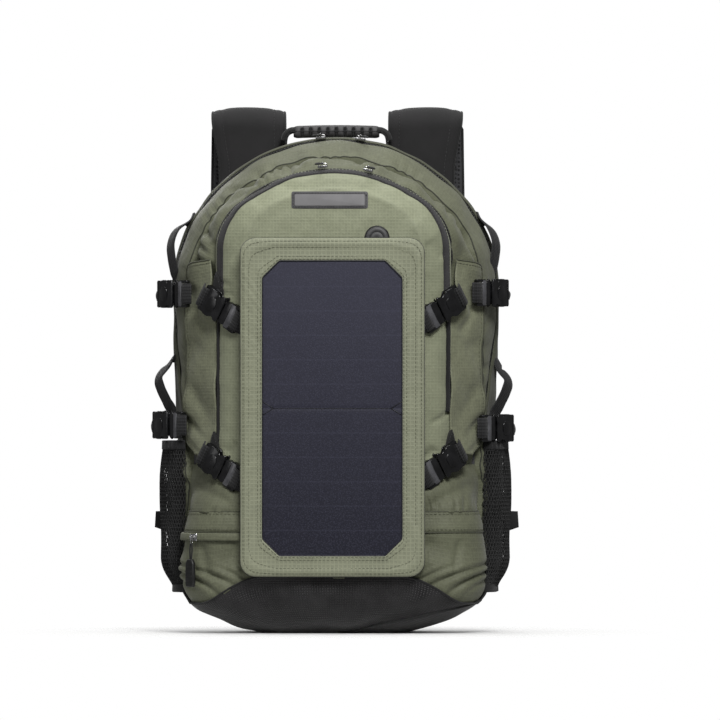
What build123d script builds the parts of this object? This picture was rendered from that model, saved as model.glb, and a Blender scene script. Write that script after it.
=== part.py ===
from build123d import *

import os
from collections import namedtuple
from math import asin, cos, pi, radians, sin

# A hiking daypack with a rigid solar panel buckled to its front, in millimetres.
# +Z is up, the front faces -Y and the harness is at +Y. The origin is the middle of the footprint.
# The bag is a row of sewn shells, one behind another, each between two rims. A rim is the bag's
# outline at one depth: a round crown, tighter shoulders and sides that lean in to the foot.

Rim = namedtuple("Rim", "y half_width crown_radius crown_centre shoulder_radius foot_half_width")
BACK_RIM = Rim(64, 158, 160, 326, 130, 148)
FULL_RIM = Rim(30, 163, 168, 327, 140, 151)
SEAM_RIM = Rim(-28, 147, 152, 323, 128, 147)
ZIP_RIM = Rim(-66, 117, 150, 312, 60, 117)
FACE_RIM = Rim(-92, 88, 128, 312, 55, 88)
RIM_FOOT = 20
FABRIC = 2.5

# The floor bowl and the lower pocket are stacked outlines, each at one height.
Level = namedtuple("Level", "z half_width front back corner")
BASE_LEVELS = [
    Level(0, 62, -52, 45, 30),
    Level(4, 84, -66, 54, 38),
    Level(13, 115, -82, 60, 44),
    Level(28, 140, -93, 63, 45),
    Level(42, 151, -97, 64, 45),
]
POCKET_LEVELS = [
    Level(42, 151, -97, 64, 45),
    Level(62, 153, -99, 64, 45),
    Level(100, 148, -98, 64, 45),
    Level(121, 143, -95, 64, 45),
]
BASE_TOP = BASE_LEVELS[-1].z
POCKET_TOP = POCKET_LEVELS[-1].z
BAND_BOTTOM = 101
BAND_PROUD = 1.6
TAPE_PROUD = 1.0
POCKET_TAPE = (92, 99.5)

MAIN_ZIP_Y = 22
MAIN_TAPE_WIDTH = 12
MAIN_TAPE_FOOT = 364
FRONT_TAPE_WIDTH = 8
FRONT_TAPE_FOOT = 198
TAPE_THICKNESS = 3.0

BACK_PANEL_THICKNESS = 5
BACK_FACE = BACK_RIM.y + BACK_PANEL_THICKNESS
PAD_THICKNESS = 12

HANDLE_AXIS = (62, 488)
GRIP_LENGTH = 86
GRIP_BOTTOM = 495.5
GRIP_TOP = 508
HANDLE_HALF_LENGTH = 50

STRAP_THICKNESS = 10
STRAP_TOP = 526
STRAP_END = 232.5
STRAP_BACK = 113.5

PANEL_WIDTH = 183
PANEL_HEIGHT = 336
PANEL_BOTTOM = 57
PANEL_BACK = -107
PANEL_CORNER = 15
LAMINATE_WIDTH = 139
LAMINATE_HEIGHT = 293
LAMINATE_CHAMFER = 17
LAMINATE_BOTTOM = 77.5

BUCKLE_WIDTH = 28
SOCKET_LENGTH = 23
SOCKET_THICKNESS = 9
SOCKET_BAR = 7
CLIP_SHOULDER = 8
CLIP_LADDER = 14
CLIP_THICKNESS = 5
TONGUE = 9
CAVITY_DEPTH = 14
FIT_GAP = 0.5

# Each buckle's place is the middle of its socket's mouth. Its direction runs from clip to socket,
# and its normal points away from the bag. Both are for the right side.
Buckle = namedtuple("Buckle", "name x y z")
FRONT_BUCKLES = [
    Buckle("upper_left", -109, -84.6, 321),
    Buckle("upper_right", 106, -84.6, 321),
    Buckle("lower_left", -109, -84.6, 164),
    Buckle("lower_right", 106, -84.6, 166),
]
SIDE_BUCKLES = [
    Buckle("upper_left", -159, -24, 338),
    Buckle("upper_right", 155, -29, 339),
    Buckle("lower_left", -164, -17, 207),
    Buckle("lower_right", 160, -22, 204),
]
TAB_BEND = 62
TAB_LENGTH = 7.8
FRONT_DIRECTION = Vector(0.7, 0.5, 0.51)
FRONT_NORMAL = Vector(0.5, -0.7, 0)
SIDE_DIRECTION = Vector(0.6, 0.8, 0)
SIDE_NORMAL = Vector(0.8, -0.6, 0)
UPPER_LOOP = {"root_x": 153, "rise": 60}
LOWER_LOOP = {"root_x": 163.5, "rise": 52}

GROMMET_X = 44
GROMMET_Z = 393
GROMMET_BORE = 8

# Sliders stand on their tape with a running gap. Angles run from the top of the arch.
SLIDER_LIFT = 0.5
POCKET_SLIDER_LIFT = 1.8
PIN_HEIGHT = 4.5
MAIN_ANGLES = {"left": -5, "right": 8.5}
FRONT_ANGLES = {"left": -4, "right": 13}
MAIN_PULL_DROOP = 12
FRONT_PULL_DROOP = 14
POCKET_SLIDER_Z = 96


def between(a, b, value, key):
    """The rim or level part way from a to b, where its field key has the given value."""
    share = (value - getattr(a, key)) / (getattr(b, key) - getattr(a, key))
    return type(a)(*(low + (high - low) * share for low, high in zip(a, b)))


def rim_sketch(rim, inset=0.0):
    """A rim's closed outline, drawn flat with z as the second axis."""
    crown = rim.crown_radius - inset
    shoulder = rim.shoulder_radius - inset
    side = rim.half_width - inset
    shoulder_x = side - shoulder
    turn = asin(shoulder_x / (crown - shoulder))
    shoulder_z = rim.crown_centre + (crown - shoulder) * cos(turn)
    half_turn = (turn + pi / 2) / 2
    foot = (rim.foot_half_width - inset, RIM_FOOT + inset)
    hip = (side, shoulder_z)
    bend = (shoulder_x + shoulder * sin(half_turn), shoulder_z + shoulder * cos(half_turn))
    neck = (crown * sin(turn), rim.crown_centre + crown * cos(turn))
    top = (0, rim.crown_centre + crown)

    def left(point):
        return (-point[0], point[1])

    return make_face(
        [
            Line(left(foot), left(hip)),
            ThreePointArc(left(hip), left(bend), left(neck)),
            ThreePointArc(left(neck), top, neck),
            ThreePointArc(neck, bend, hip),
            Line(hip, foot),
            Line(foot, left(foot)),
        ]
    )


def rim_face(rim, inset=0.0):
    return Plane.XZ.offset(-rim.y) * rim_sketch(rim, inset)


def rim_solid(rims, inset=0.0):
    return loft([rim_face(rim, inset) for rim in rims], ruled=True)


def rim_shell(rims):
    return rim_solid(rims) - rim_solid(rims, FABRIC)


def rim_plate(rim, y_front, y_back, inset=0.0):
    """A flat sheet of a rim's outline between two depths."""
    return Plane.XZ.offset(-y_back) * extrude(rim_sketch(rim, inset), y_back - y_front)


def level_face(level, grow=0.0):
    depth = level.back - level.front + 2 * grow
    middle = (level.back + level.front) / 2
    outline = RectangleRounded(2 * (level.half_width + grow), depth, level.corner + grow)
    return Location((0, middle, level.z)) * outline


def level_solid(levels, grow=0.0):
    return loft([level_face(level, grow) for level in levels], ruled=True)


def block(low, high):
    """A box between two corners."""
    size = [b - a for a, b in zip(low, high)]
    return Location(low) * Box(*size, align=Align.MIN)


def above(z):
    return block((-300, -300, z), (300, 300, 700))


def below(z):
    return block((-300, -300, -100), (300, 300, z))


def in_front_of(y):
    return block((-300, -300, -100), (300, y, 700))


def both_sides(shape):
    return [shape, shape.mirror(Plane.YZ)]


def rounded_plate(width, height, thickness, radius):
    """A plate standing in the XZ plane about the origin, with its back at y = 0."""
    return Plane.XZ * extrude(RectangleRounded(width, height, radius), thickness)


def save(name, *shapes):
    solids = [solid for shape in shapes for solid in shape.solids()]
    export_step(Compound(children=solids) if len(solids) > 1 else solids[0], f"parts/{name}.step")


def bag_shells():
    """The sewn shells of the bag and the zips between them."""
    main_rim = between(FULL_RIM, SEAM_RIM, MAIN_ZIP_Y, "y")
    main_edges = (MAIN_ZIP_Y - MAIN_TAPE_WIDTH / 2, MAIN_ZIP_Y + MAIN_TAPE_WIDTH / 2)
    main_tape = rim_plate(main_rim, *main_edges, inset=-TAPE_PROUD) & above(MAIN_TAPE_FOOT)
    main_tape -= rim_plate(main_rim, *main_edges, inset=TAPE_THICKNESS)
    front_edges = (ZIP_RIM.y - FRONT_TAPE_WIDTH / 2, ZIP_RIM.y + FRONT_TAPE_WIDTH / 2)
    front_tape = rim_plate(ZIP_RIM, *front_edges, inset=-TAPE_PROUD) & above(FRONT_TAPE_FOOT)
    front_tape -= rim_plate(ZIP_RIM, *front_edges, inset=TAPE_THICKNESS)

    main_gusset = rim_shell([BACK_RIM, FULL_RIM, SEAM_RIM]) & above(BASE_TOP)
    mid_gusset = rim_shell([SEAM_RIM, ZIP_RIM]) & above(POCKET_TOP)
    face_inside = between(FACE_RIM, ZIP_RIM, FACE_RIM.y + FABRIC, "y")
    hollow = rim_solid([ZIP_RIM, face_inside], FABRIC)
    front_compartment = (rim_solid([ZIP_RIM, FACE_RIM]) - hollow) & above(POCKET_TOP)

    save("main_zip_tape", main_tape)
    save("front_zip_tape", front_tape)
    save("main_gusset", main_gusset - main_tape)
    save("mid_gusset", mid_gusset - front_tape)
    grommet_hole = Pos(GROMMET_X, FACE_RIM.y, GROMMET_Z) * Rot(90, 0, 0) * Cylinder(GROMMET_BORE, 12)
    save("front_compartment", front_compartment - front_tape - grommet_hole)

    divider = rim_plate(SEAM_RIM, SEAM_RIM.y, SEAM_RIM.y + FABRIC, inset=7)
    save("main_divider", divider & above(BASE_TOP + 6))
    inner = rim_plate(ZIP_RIM, ZIP_RIM.y + 6, ZIP_RIM.y + 6 + FABRIC, inset=6)
    save("front_divider", inner & above(POCKET_TOP + 2))

    back = rim_plate(BACK_RIM, BACK_RIM.y, BACK_FACE)
    save("back_panel", back & above(BASE_TOP))
    stiffener = rim_plate(BACK_RIM, BACK_RIM.y - 1.5, BACK_RIM.y, inset=12)
    save("frame_sheet", stiffener & above(BASE_TOP + 8))
    save("laptop_sleeve", block((-125, BACK_RIM.y - 7.5, 60), (125, BACK_RIM.y - 1.5, 330)))


def lower_shells():
    """The floor bowl, the lower front pocket with its band and zip, and the two mesh pockets."""
    base_hollow = [level._replace(z=level.z + FABRIC) for level in BASE_LEVELS]
    base = level_solid(BASE_LEVELS) - level_solid(base_hollow, -FABRIC)
    save("base_panel", base & below(BASE_TOP))

    front = in_front_of(SEAM_RIM.y)
    pocket = level_solid(POCKET_LEVELS) & front
    hollow = level_solid(POCKET_LEVELS, -FABRIC) & front & below(POCKET_TOP - FABRIC)
    save("lower_pocket", pocket - hollow)

    def belt(low, high, proud):
        levels = [between(POCKET_LEVELS[2], POCKET_LEVELS[3], z, "z") for z in (low, high)]
        return (level_solid(levels, proud) - level_solid(levels)) & front

    save("lower_band", belt(BAND_BOTTOM, POCKET_TOP, BAND_PROUD))
    save("pocket_zip_tape", belt(*POCKET_TAPE, TAPE_PROUD))

    bag = rim_solid([BACK_RIM, FULL_RIM, SEAM_RIM])
    reach = {BASE_TOP: 12, 66: 25.5, 150: 26.5, 189: 23.5}

    def sock(wall):
        sections = [
            Location((149, 16, z + (wall if z == BASE_TOP else 0))) * Ellipse(out - wall, 43 - wall)
            for z, out in reach.items()
        ]
        return loft(sections, ruled=True)

    mesh = sock(0) - sock(1.5) - bag - block((-300, -300, 0), (149, 300, 700))
    right, left = both_sides(mesh)
    save("mesh_pocket_right", right)
    save("mesh_pocket_left", left)


def harness():
    """Back padding, shoulder straps and the webbing that adjusts them."""
    column = Location((62, BACK_FACE, 250)) * Rot(0, 0, 180) * rounded_plate(76, 296, PAD_THICKNESS, 24)
    for side, pad in zip(("right", "left"), both_sides(column)):
        save(f"back_pad_{side}", pad)
    save("lumbar_pad", Pos(0, BACK_FACE, 70) * Rot(0, 0, 180) * rounded_plate(210, 44, PAD_THICKNESS, 18))

    front_leg = BACK_FACE + 0.5 + STRAP_THICKNESS / 2
    rear_leg = STRAP_BACK - STRAP_THICKNESS / 2
    turn = (rear_leg - front_leg) / 2
    bend_z = STRAP_TOP - turn - STRAP_THICKNESS / 2
    route = [
        Line((front_leg, 412), (front_leg, bend_z)),
        ThreePointArc((front_leg, bend_z), (front_leg + turn, bend_z + turn), (rear_leg, bend_z)),
        Line((rear_leg, bend_z), (rear_leg, STRAP_END - STRAP_THICKNESS)),
    ]
    path = Wire(route)
    ribbon = make_face(path.offset_2d(STRAP_THICKNESS / 2, side=Side.BOTH).edges())
    profile = Plane.YZ * ribbon
    slab = extrude(profile, 200)
    inner_edge = [(53, 540), (53, 400), (94, 300), (110, STRAP_END)]
    outer_edge = [(146, STRAP_END), (148, 320), (127, 420), (125, 540)]
    outline = make_face(Polyline(*inner_edge, *outer_edge, close=True))
    cutter = Plane.XZ.offset(-130) * extrude(outline, 100)
    for side, strap in zip(("right", "left"), both_sides(slab & cutter)):
        save(f"shoulder_strap_{side}", strap)

    lock_y = rear_leg
    lock = Pos(128, lock_y, 222) * (
        Box(36, 5, 20) - Pos(0, 0, 5) * Box(27, 6, 3.6) - Pos(0, 0, -5) * Box(27, 6, 3.6)
    )
    for side, lock_side in zip(("right", "left"), both_sides(lock)):
        save(f"ladder_lock_{side}", lock_side)

    upper = Location((128, lock_y, 211.8)) * Rectangle(25, 1.6)
    lower = Location((148, BACK_FACE + 3.4, 121)) * Rectangle(25, 1.6)
    for side, webbing in zip(("right", "left"), both_sides(loft([upper, lower], ruled=True))):
        save(f"strap_webbing_{side}", webbing)

    wing = make_face([Polyline((140, 121), (140, 90), (184, 104), (182, 120), (160, 121), (140, 121))])
    anchor = Plane.XZ.offset(-BACK_FACE - 4.5) * extrude(wing, 4.5)
    save("strap_anchors", *both_sides(anchor))


def handle():
    """The carry handle: webbing tabs sewn to the back panel, a webbing arch and a ribbed grip."""
    axis_y, axis_z = HANDLE_AXIS
    tab = block((39, BACK_FACE, 452), (HANDLE_HALF_LENGTH, BACK_FACE + 2, axis_z - 3.4))
    save("handle_tabs", *both_sides(tab))

    middle = (GRIP_BOTTOM + GRIP_TOP) / 2
    arch = block((-HANDLE_HALF_LENGTH, axis_y - 8, axis_z + 1.5), (HANDLE_HALF_LENGTH, axis_y + 8, middle + 1))
    inside = HANDLE_HALF_LENGTH - 2.2
    arch -= block((-inside, axis_y - 9, axis_z), (inside, axis_y + 9, middle - 1))
    grip_size = (GRIP_LENGTH, 17, GRIP_TOP - GRIP_BOTTOM)
    grip = Pos(0, axis_y, middle) * fillet(Box(*grip_size).edges().filter_by(Axis.X), 4)
    for index in range(-4, 5):
        groove_x = index * GRIP_LENGTH / 10
        grip -= block((groove_x - 0.9, axis_y - 9, GRIP_TOP - 1.6), (groove_x + 0.9, axis_y + 9, GRIP_TOP + 1))
    save("handle_strap", arch)
    save("handle_grip", grip - arch)


def solar_panel():
    """The panel from back to front: back fabric, board, encapsulated cells and the fabric frame."""
    middle_z = PANEL_BOTTOM + PANEL_HEIGHT / 2
    window_z = LAMINATE_BOTTOM + LAMINATE_HEIGHT / 2

    def cut_corners(width, height, size):
        return chamfer(Rectangle(width, height).vertices(), size)

    def chamfered(width, height, size, y_back, thickness):
        outline = cut_corners(width, height, size)
        return Pos(0, y_back, window_z) * (Plane.XZ * extrude(outline, thickness))

    outer = (PANEL_WIDTH, PANEL_HEIGHT)
    back = Pos(0, PANEL_BACK, middle_z) * rounded_plate(*outer, 1.5, PANEL_CORNER)
    rim = Pos(0, PANEL_BACK - 1.5, middle_z) * rounded_plate(*outer, 5, PANEL_CORNER)
    window = (LAMINATE_WIDTH, LAMINATE_HEIGHT, LAMINATE_CHAMFER)
    save("panel_back", back)
    save("panel_frame", rim - chamfered(*window, PANEL_BACK, 10))

    inset = 0.4
    inner = (LAMINATE_WIDTH - inset, LAMINATE_HEIGHT - inset, LAMINATE_CHAMFER)
    save("panel_board", chamfered(*inner, PANEL_BACK - 1.5, 1.6))
    save("solar_laminate", chamfered(*inner, PANEL_BACK - 3.1, 1.0))
    cell_height = (LAMINATE_HEIGHT - 12) / 2
    cell = Plane.XZ * extrude(cut_corners(LAMINATE_WIDTH - 8, cell_height, 11), 0.4)
    offset = cell_height / 2 + 1
    cells = [Pos(0, PANEL_BACK - 4.1, window_z + side * offset) * cell for side in (-1, 1)]
    save("solar_cells", *cells)
    save("laminate_film", chamfered(*inner, PANEL_BACK - 4.5, 0.5))
    save("junction_box", block((-28, PANEL_BACK, 330), (28, PANEL_BACK + 11, 362)))


def front_details():
    """The cable grommet and the blank label patch on the front compartment."""
    flange = Pos(GROMMET_X, FACE_RIM.y - 1.5, GROMMET_Z) * Rot(90, 0, 0) * Cylinder(11.5, 3)
    barrel = Pos(GROMMET_X, FACE_RIM.y + 1, GROMMET_Z) * Rot(90, 0, 0) * Cylinder(GROMMET_BORE - 0.1, 6)
    slit = block((GROMMET_X - 0.6, -110, GROMMET_Z - 5), (GROMMET_X + 0.6, -70, GROMMET_Z + 5))
    save("cable_grommet", flange + barrel - slit)
    save("label_patch", Pos(-3, FACE_RIM.y, 431) * rounded_plate(76, 17, 1.6, 2))


def socket_shape():
    """A side-release socket along +x from its mouth at the origin, with z away from the bag."""
    outline = Pos(SOCKET_LENGTH / 2, 0) * RectangleRounded(SOCKET_LENGTH, BUCKLE_WIDTH, 5)
    body = Pos(0, 0, -SOCKET_THICKNESS / 2) * extrude(outline, SOCKET_THICKNESS)
    bar = Pos(SOCKET_LENGTH + SOCKET_BAR / 2 - 1, 0, 0) * Box(SOCKET_BAR + 2, BUCKLE_WIDTH, 5)
    slot = Pos(SOCKET_LENGTH + 2.6, 0, 0) * Box(3.4, 22, 8)
    cavity = Pos(CAVITY_DEPTH / 2 - 1, 0, 0) * Box(CAVITY_DEPTH + 2, 21, 4 + 2 * FIT_GAP)
    shape = body + bar - slot - cavity
    for side in (-1, 1):
        shape -= Pos(7.5, side * (BUCKLE_WIDTH / 2 + 0.5), 0) * Cylinder(5.5, 20)
    return shape


def clip_shape():
    """The clip in the same frame: tongue and prongs in the socket, shoulder and webbing ladder outside."""
    shoulder = Pos(-FIT_GAP - CLIP_SHOULDER / 2, 0, 0) * Box(CLIP_SHOULDER, BUCKLE_WIDTH - 2, CLIP_THICKNESS)
    ladder_x = -FIT_GAP - CLIP_SHOULDER - CLIP_LADDER / 2
    ladder = Pos(ladder_x, 0, 0) * Box(CLIP_LADDER, BUCKLE_WIDTH, CLIP_THICKNESS)
    for offset in (-3.6, 2.8):
        ladder -= Pos(ladder_x + offset, 0, 0) * Box(4, 22, 12)
    tongue = Pos(TONGUE / 2 - 1, 0, 0) * Box(TONGUE + 2, 6, 4)
    shape = shoulder + ladder + tongue
    for side in (-1, 1):
        shape += Pos(TONGUE / 2 - 1, side * 7.8, 0) * Box(TONGUE + 1, 3.4, 4)
    return shape


def webbing_tail(length, bend):
    """The ribbed webbing on a clip's ladder end. It turns by bend degrees just past the last bar."""
    start = -FIT_GAP - CLIP_SHOULDER - CLIP_LADDER - 0.1
    return Pos(start, 0, 0) * Rot(0, bend, 0) * Pos(-length / 2, 0, 0) * Box(length, 21, 2)


def buckle_plane(buckle, direction, normal):
    side = 1 if buckle.x > 0 else -1
    x_dir = (side * direction.X, direction.Y, direction.Z)
    z_dir = (side * normal.X, normal.Y, normal.Z)
    return Plane(origin=(buckle.x, buckle.y, buckle.z), x_dir=x_dir, z_dir=z_dir)


def buckles():
    """Four buckles hold the panel to the front, and four more close the side compression straps."""
    sets = [
        ("front", FRONT_BUCKLES, FRONT_DIRECTION, FRONT_NORMAL, (8, -24)),
        ("side", SIDE_BUCKLES, SIDE_DIRECTION, SIDE_NORMAL, (7, -15)),
    ]
    for kind, places, direction, normal, tail in sets:
        sockets = []
        for buckle in places:
            plane = buckle_plane(buckle, direction, normal)
            sockets.append(plane * socket_shape())
            save(f"{kind}_clip_{buckle.name}", plane * clip_shape(), plane * webbing_tail(*tail))
        save(f"{kind}_buckle_sockets", *sockets)


def webbing():
    """The sewn tabs that hold the front sockets, and the loose loops of the side straps."""
    tabs = []
    for buckle in FRONT_BUCKLES:
        plane = buckle_plane(buckle, FRONT_DIRECTION, FRONT_NORMAL)
        start = SOCKET_LENGTH + SOCKET_BAR
        strip = Pos(TAB_LENGTH / 2 + 0.5, 0, 0) * Box(TAB_LENGTH, 21, 1.8)
        tabs.append(plane * (Pos(start, 0, -2) * Rot(0, TAB_BEND, 0) * strip))
    save("front_buckle_tabs", *tabs)

    loops = []
    for buckle in SIDE_BUCKLES:
        side = 1 if buckle.x > 0 else -1
        plane = buckle_plane(buckle, SIDE_DIRECTION, SIDE_NORMAL)
        end = plane.from_local_coords((SOCKET_LENGTH + 2.6, 0, 0))
        loop = UPPER_LOOP if "upper" in buckle.name else LOWER_LOOP
        rise = loop["rise"]
        top = buckle.z + BUCKLE_WIDTH / 2
        points = [
            (abs(end.X), end.Y, top + 1),
            (abs(end.X) - 2, end.Y + 4, top + 0.28 * rise),
            (abs(end.X) - 6, end.Y + 12, top + 0.62 * rise),
            (loop["root_x"], 30, top + rise),
        ]
        sections = [Location((side * x, y, z)) * Rectangle(2, 20) for x, y, z in points]
        loops.append(loft(sections, ruled=True))
    save("side_straps", *loops)


def slider_shape():
    """A zip slider lying along x on a tape at z = 0, with the pull's bridge on top."""
    body = extrude(RectangleRounded(9, 7.5, 2), 3)
    bridge = Pos(0, 0, 4.7) * Box(2.4, 7, 3.6) - Pos(0, 0, 4.5) * Box(3, 4, 2)
    return body + bridge


def pull_shape(width, length, droop=0):
    """A pull that lies towards -y from a pin through the slider's bridge, tipped down by droop."""
    pin = Rot(0, 90, 0) * Cylinder(0.6, 7.4)
    arms = [Pos(side * 3.1, -3.5, 0) * Box(1.2, 8.2, 1.2) for side in (-1, 1)]
    grip = Pos(0, -7 - length / 2, 0) * Box(width, length, 2)
    return Pos(0, 0, PIN_HEIGHT) * Rot(droop, 0, 0) * (pin + arms[0] + arms[1] + grip)


def on_arc(centre_z, radius, degrees, y):
    """A plane on an arch's outside: x along the zip, y towards the back and z outward."""
    angle = radians(degrees)
    origin = (radius * sin(angle), y, centre_z + radius * cos(angle))
    return Plane(origin=origin, x_dir=(cos(angle), 0, -sin(angle)), z_dir=(sin(angle), 0, cos(angle)))


def zip_sliders():
    """Two sliders on each round zip and one on the lower pocket's corner, each with its pull."""
    main_rim = between(FULL_RIM, SEAM_RIM, MAIN_ZIP_Y, "y")
    for name, rim, angles, droop in (
        ("main", main_rim, MAIN_ANGLES, MAIN_PULL_DROOP),
        ("front", ZIP_RIM, FRONT_ANGLES, FRONT_PULL_DROOP),
    ):
        radius = rim.crown_radius + TAPE_PROUD + SLIDER_LIFT
        for side, degrees in angles.items():
            plane = on_arc(rim.crown_centre, radius, degrees, rim.y)
            save(f"{name}_slider_{side}", plane * slider_shape())
            save(f"{name}_pull_{side}", plane * pull_shape(6, 14, droop))

    level = between(POCKET_LEVELS[1], POCKET_LEVELS[2], POCKET_SLIDER_Z, "z")
    centre = (level.corner - level.half_width, level.front + level.corner)
    radius = level.corner + TAPE_PROUD + POCKET_SLIDER_LIFT
    slant = sin(pi / 4)
    origin = (centre[0] - radius * slant, centre[1] - radius * slant, POCKET_SLIDER_Z)
    plane = Plane(origin=origin, x_dir=(slant, -slant, 0), z_dir=(-slant, -slant, 0))
    save("pocket_slider", plane * slider_shape())
    grip = Pos(0, -36, PIN_HEIGHT + 1) * fillet(Box(12, 28, 5).edges().filter_by(Axis.Z), 4)
    save("pocket_pull", plane * (pull_shape(4, 18) + grip))


os.makedirs("parts", exist_ok=True)
bag_shells()
lower_shells()
harness()
handle()
solar_panel()
front_details()
buckles()
webbing()
zip_sliders()
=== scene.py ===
from collections import namedtuple
from math import cos, pi, radians, sin

import bmesh
import bpy
import numpy as np
from mathutils import Matrix, Vector


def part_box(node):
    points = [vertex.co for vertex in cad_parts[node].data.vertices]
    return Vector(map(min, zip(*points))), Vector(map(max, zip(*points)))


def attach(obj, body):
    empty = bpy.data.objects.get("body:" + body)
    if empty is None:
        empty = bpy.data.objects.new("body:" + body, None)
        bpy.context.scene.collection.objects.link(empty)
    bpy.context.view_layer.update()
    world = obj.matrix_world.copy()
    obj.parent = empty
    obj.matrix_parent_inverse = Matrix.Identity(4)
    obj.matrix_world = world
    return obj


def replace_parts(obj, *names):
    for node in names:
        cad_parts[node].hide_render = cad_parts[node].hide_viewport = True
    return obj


# A solar backpack. Lengths are in millimetres here and become metres where a mesh is made.
# +Z is up, the front faces -Y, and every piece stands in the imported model's own frame.

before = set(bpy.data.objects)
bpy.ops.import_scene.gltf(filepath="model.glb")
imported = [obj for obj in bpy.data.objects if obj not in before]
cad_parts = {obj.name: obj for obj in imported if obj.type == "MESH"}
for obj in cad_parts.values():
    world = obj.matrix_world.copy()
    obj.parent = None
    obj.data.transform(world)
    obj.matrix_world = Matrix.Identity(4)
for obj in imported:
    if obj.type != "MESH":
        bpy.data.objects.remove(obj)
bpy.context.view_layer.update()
MM = 0.001

# The bag's outline at a few depths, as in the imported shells: crown, shoulders and sides.
Rim = namedtuple("Rim", "y half_width crown_radius crown_centre shoulder_radius foot_half_width")
RIMS = [
    Rim(-92, 88, 128, 312, 55, 88),
    Rim(-66, 117, 150, 312, 60, 117),
    Rim(-28, 147, 152, 323, 128, 147),
    Rim(30, 163, 168, 327, 140, 151),
    Rim(64, 158, 160, 326, 130, 148),
]
RIM_FOOT = 20
FACE_Y = -92
ZIP_Y = -66
SEAM_Y = -28
MAIN_ZIP_Y = 22
BACK_Y = 64

# Outlines of the floor bowl and the lower pocket, each at one height.
Level = namedtuple("Level", "z half_width front back corner")
LEVELS = [
    Level(0, 62, -52, 45, 30),
    Level(4, 84, -66, 54, 38),
    Level(13, 115, -82, 60, 44),
    Level(28, 140, -93, 63, 45),
    Level(42, 151, -97, 64, 45),
    Level(62, 153, -99, 64, 45),
    Level(100, 148, -98, 64, 45),
    Level(121, 143, -95, 64, 45),
]
BASE_TOP = 42
POCKET_TOP = 121
BAND_BOTTOM = 101
SIDES = (("left", -1), ("right", 1))


# ---------------------------------------------------------------- shapes and numbers


def ease(x):
    """0 below 0, 1 above 1, and smooth between."""
    x = np.clip(x, 0.0, 1.0)
    return x * x * (3 - 2 * x)


def hump(x, centre, width):
    """1 at the centre, falling away smoothly over the width."""
    return np.exp(-(((x - centre) / width) ** 2))


def soft_interp(value, places, values, reach):
    """Straight-line interpolation with its corners rounded over the reach."""
    offsets = (-reach, -reach / 2, 0.0, reach / 2, reach)
    return sum(np.interp(value + offset, places, values) for offset in offsets) / len(offsets)


def ripple(u, v, size, seed):
    """Soft random waves of about the given size, mostly between -1 and 1."""
    random = np.random.default_rng(seed)
    total = 0.0
    for _ in range(7):
        angle = random.uniform(0, pi)
        length = size * random.uniform(0.7, 1.6)
        phase = random.uniform(0, 2 * pi)
        total = total + np.sin((u * cos(angle) + v * sin(angle)) * 2 * pi / length + phase)
    return total / 3.2


def folds(u, v, pitch, seed):
    """Narrow uneven folds that run along v, from 0 to 1."""
    wander = ripple(u, v, pitch * 5, seed) * pitch * 0.8
    wave = np.sin((u + wander) * 2 * pi / pitch) * 0.5 + 0.5
    strength = np.clip(ripple(u, v, pitch * 4, seed + 1) * 0.7 + 0.5, 0, 1)
    return wave**2 * strength


def crease(a, b, start, end, depth, width):
    """A fold's depth at points (a, b) of a flat map, along the line from start to end."""
    start, end = np.array(start, float), np.array(end, float)
    run = end - start
    share = ((a - start[0]) * run[0] + (b - start[1]) * run[1]) / (run @ run)
    inside = np.clip(share, 0, 1)
    away = np.hypot(a - start[0] - inside * run[0], b - start[1] - inside * run[1])
    return depth * np.exp(-((away / width) ** 2)) * ease(4 * (0.5 - abs(inside - 0.5)) + 0.15)


def creases(a, b, rows):
    """The summed depth of several folds, each given as its start, end, depth and width."""
    return sum(crease(a, b, *row) for row in rows)


def rim_at(y, reach=6.0):
    depths = [rim.y for rim in RIMS]
    columns = list(zip(*RIMS))[1:]
    return Rim(y, *(soft_interp(y, depths, column, reach) for column in columns))


def rim_parts(rim, inset):
    crown = rim.crown_radius - inset
    shoulder = rim.shoulder_radius - inset
    side = rim.half_width - inset
    shoulder_x = side - shoulder
    turn = np.arcsin(shoulder_x / (crown - shoulder))
    shoulder_z = rim.crown_centre + (crown - shoulder) * np.cos(turn)
    return crown, shoulder, side, shoulder_x, turn, shoulder_z


def bag_point(t, y, foot_z=40.0, inset=0.0):
    """A point of the bag's sewn outline at depth y. t runs from -1 at the left foot to 1 at the right."""
    t, y = np.broadcast_arrays(np.asarray(t, float), np.asarray(y, float))
    rim = rim_at(y)
    crown, shoulder, side, shoulder_x, turn, shoulder_z = rim_parts(rim, inset)
    foot_x = side + (rim.foot_half_width - inset - side) * (shoulder_z - foot_z) / (shoulder_z - RIM_FOOT)
    over_crown = crown * turn
    over_shoulder = shoulder * (pi / 2 - turn)
    down = np.hypot(foot_x - side, shoulder_z - foot_z)
    along = abs(t) * (over_crown + over_shoulder + down)
    first = along / crown
    second = turn + (along - over_crown) / shoulder
    third = (along - over_crown - over_shoulder) / down
    where = [along < over_crown, along < over_crown + over_shoulder]
    x = np.select(
        where, [crown * np.sin(first), shoulder_x + shoulder * np.sin(second)],
        side + (foot_x - side) * third
    )
    z = np.select(
        where,
        [rim.crown_centre + crown * np.cos(first), shoulder_z + shoulder * np.cos(second)],
        shoulder_z + (foot_z - shoulder_z) * third,
    )
    return np.stack([np.sign(t) * x, y, z], -1)


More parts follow.
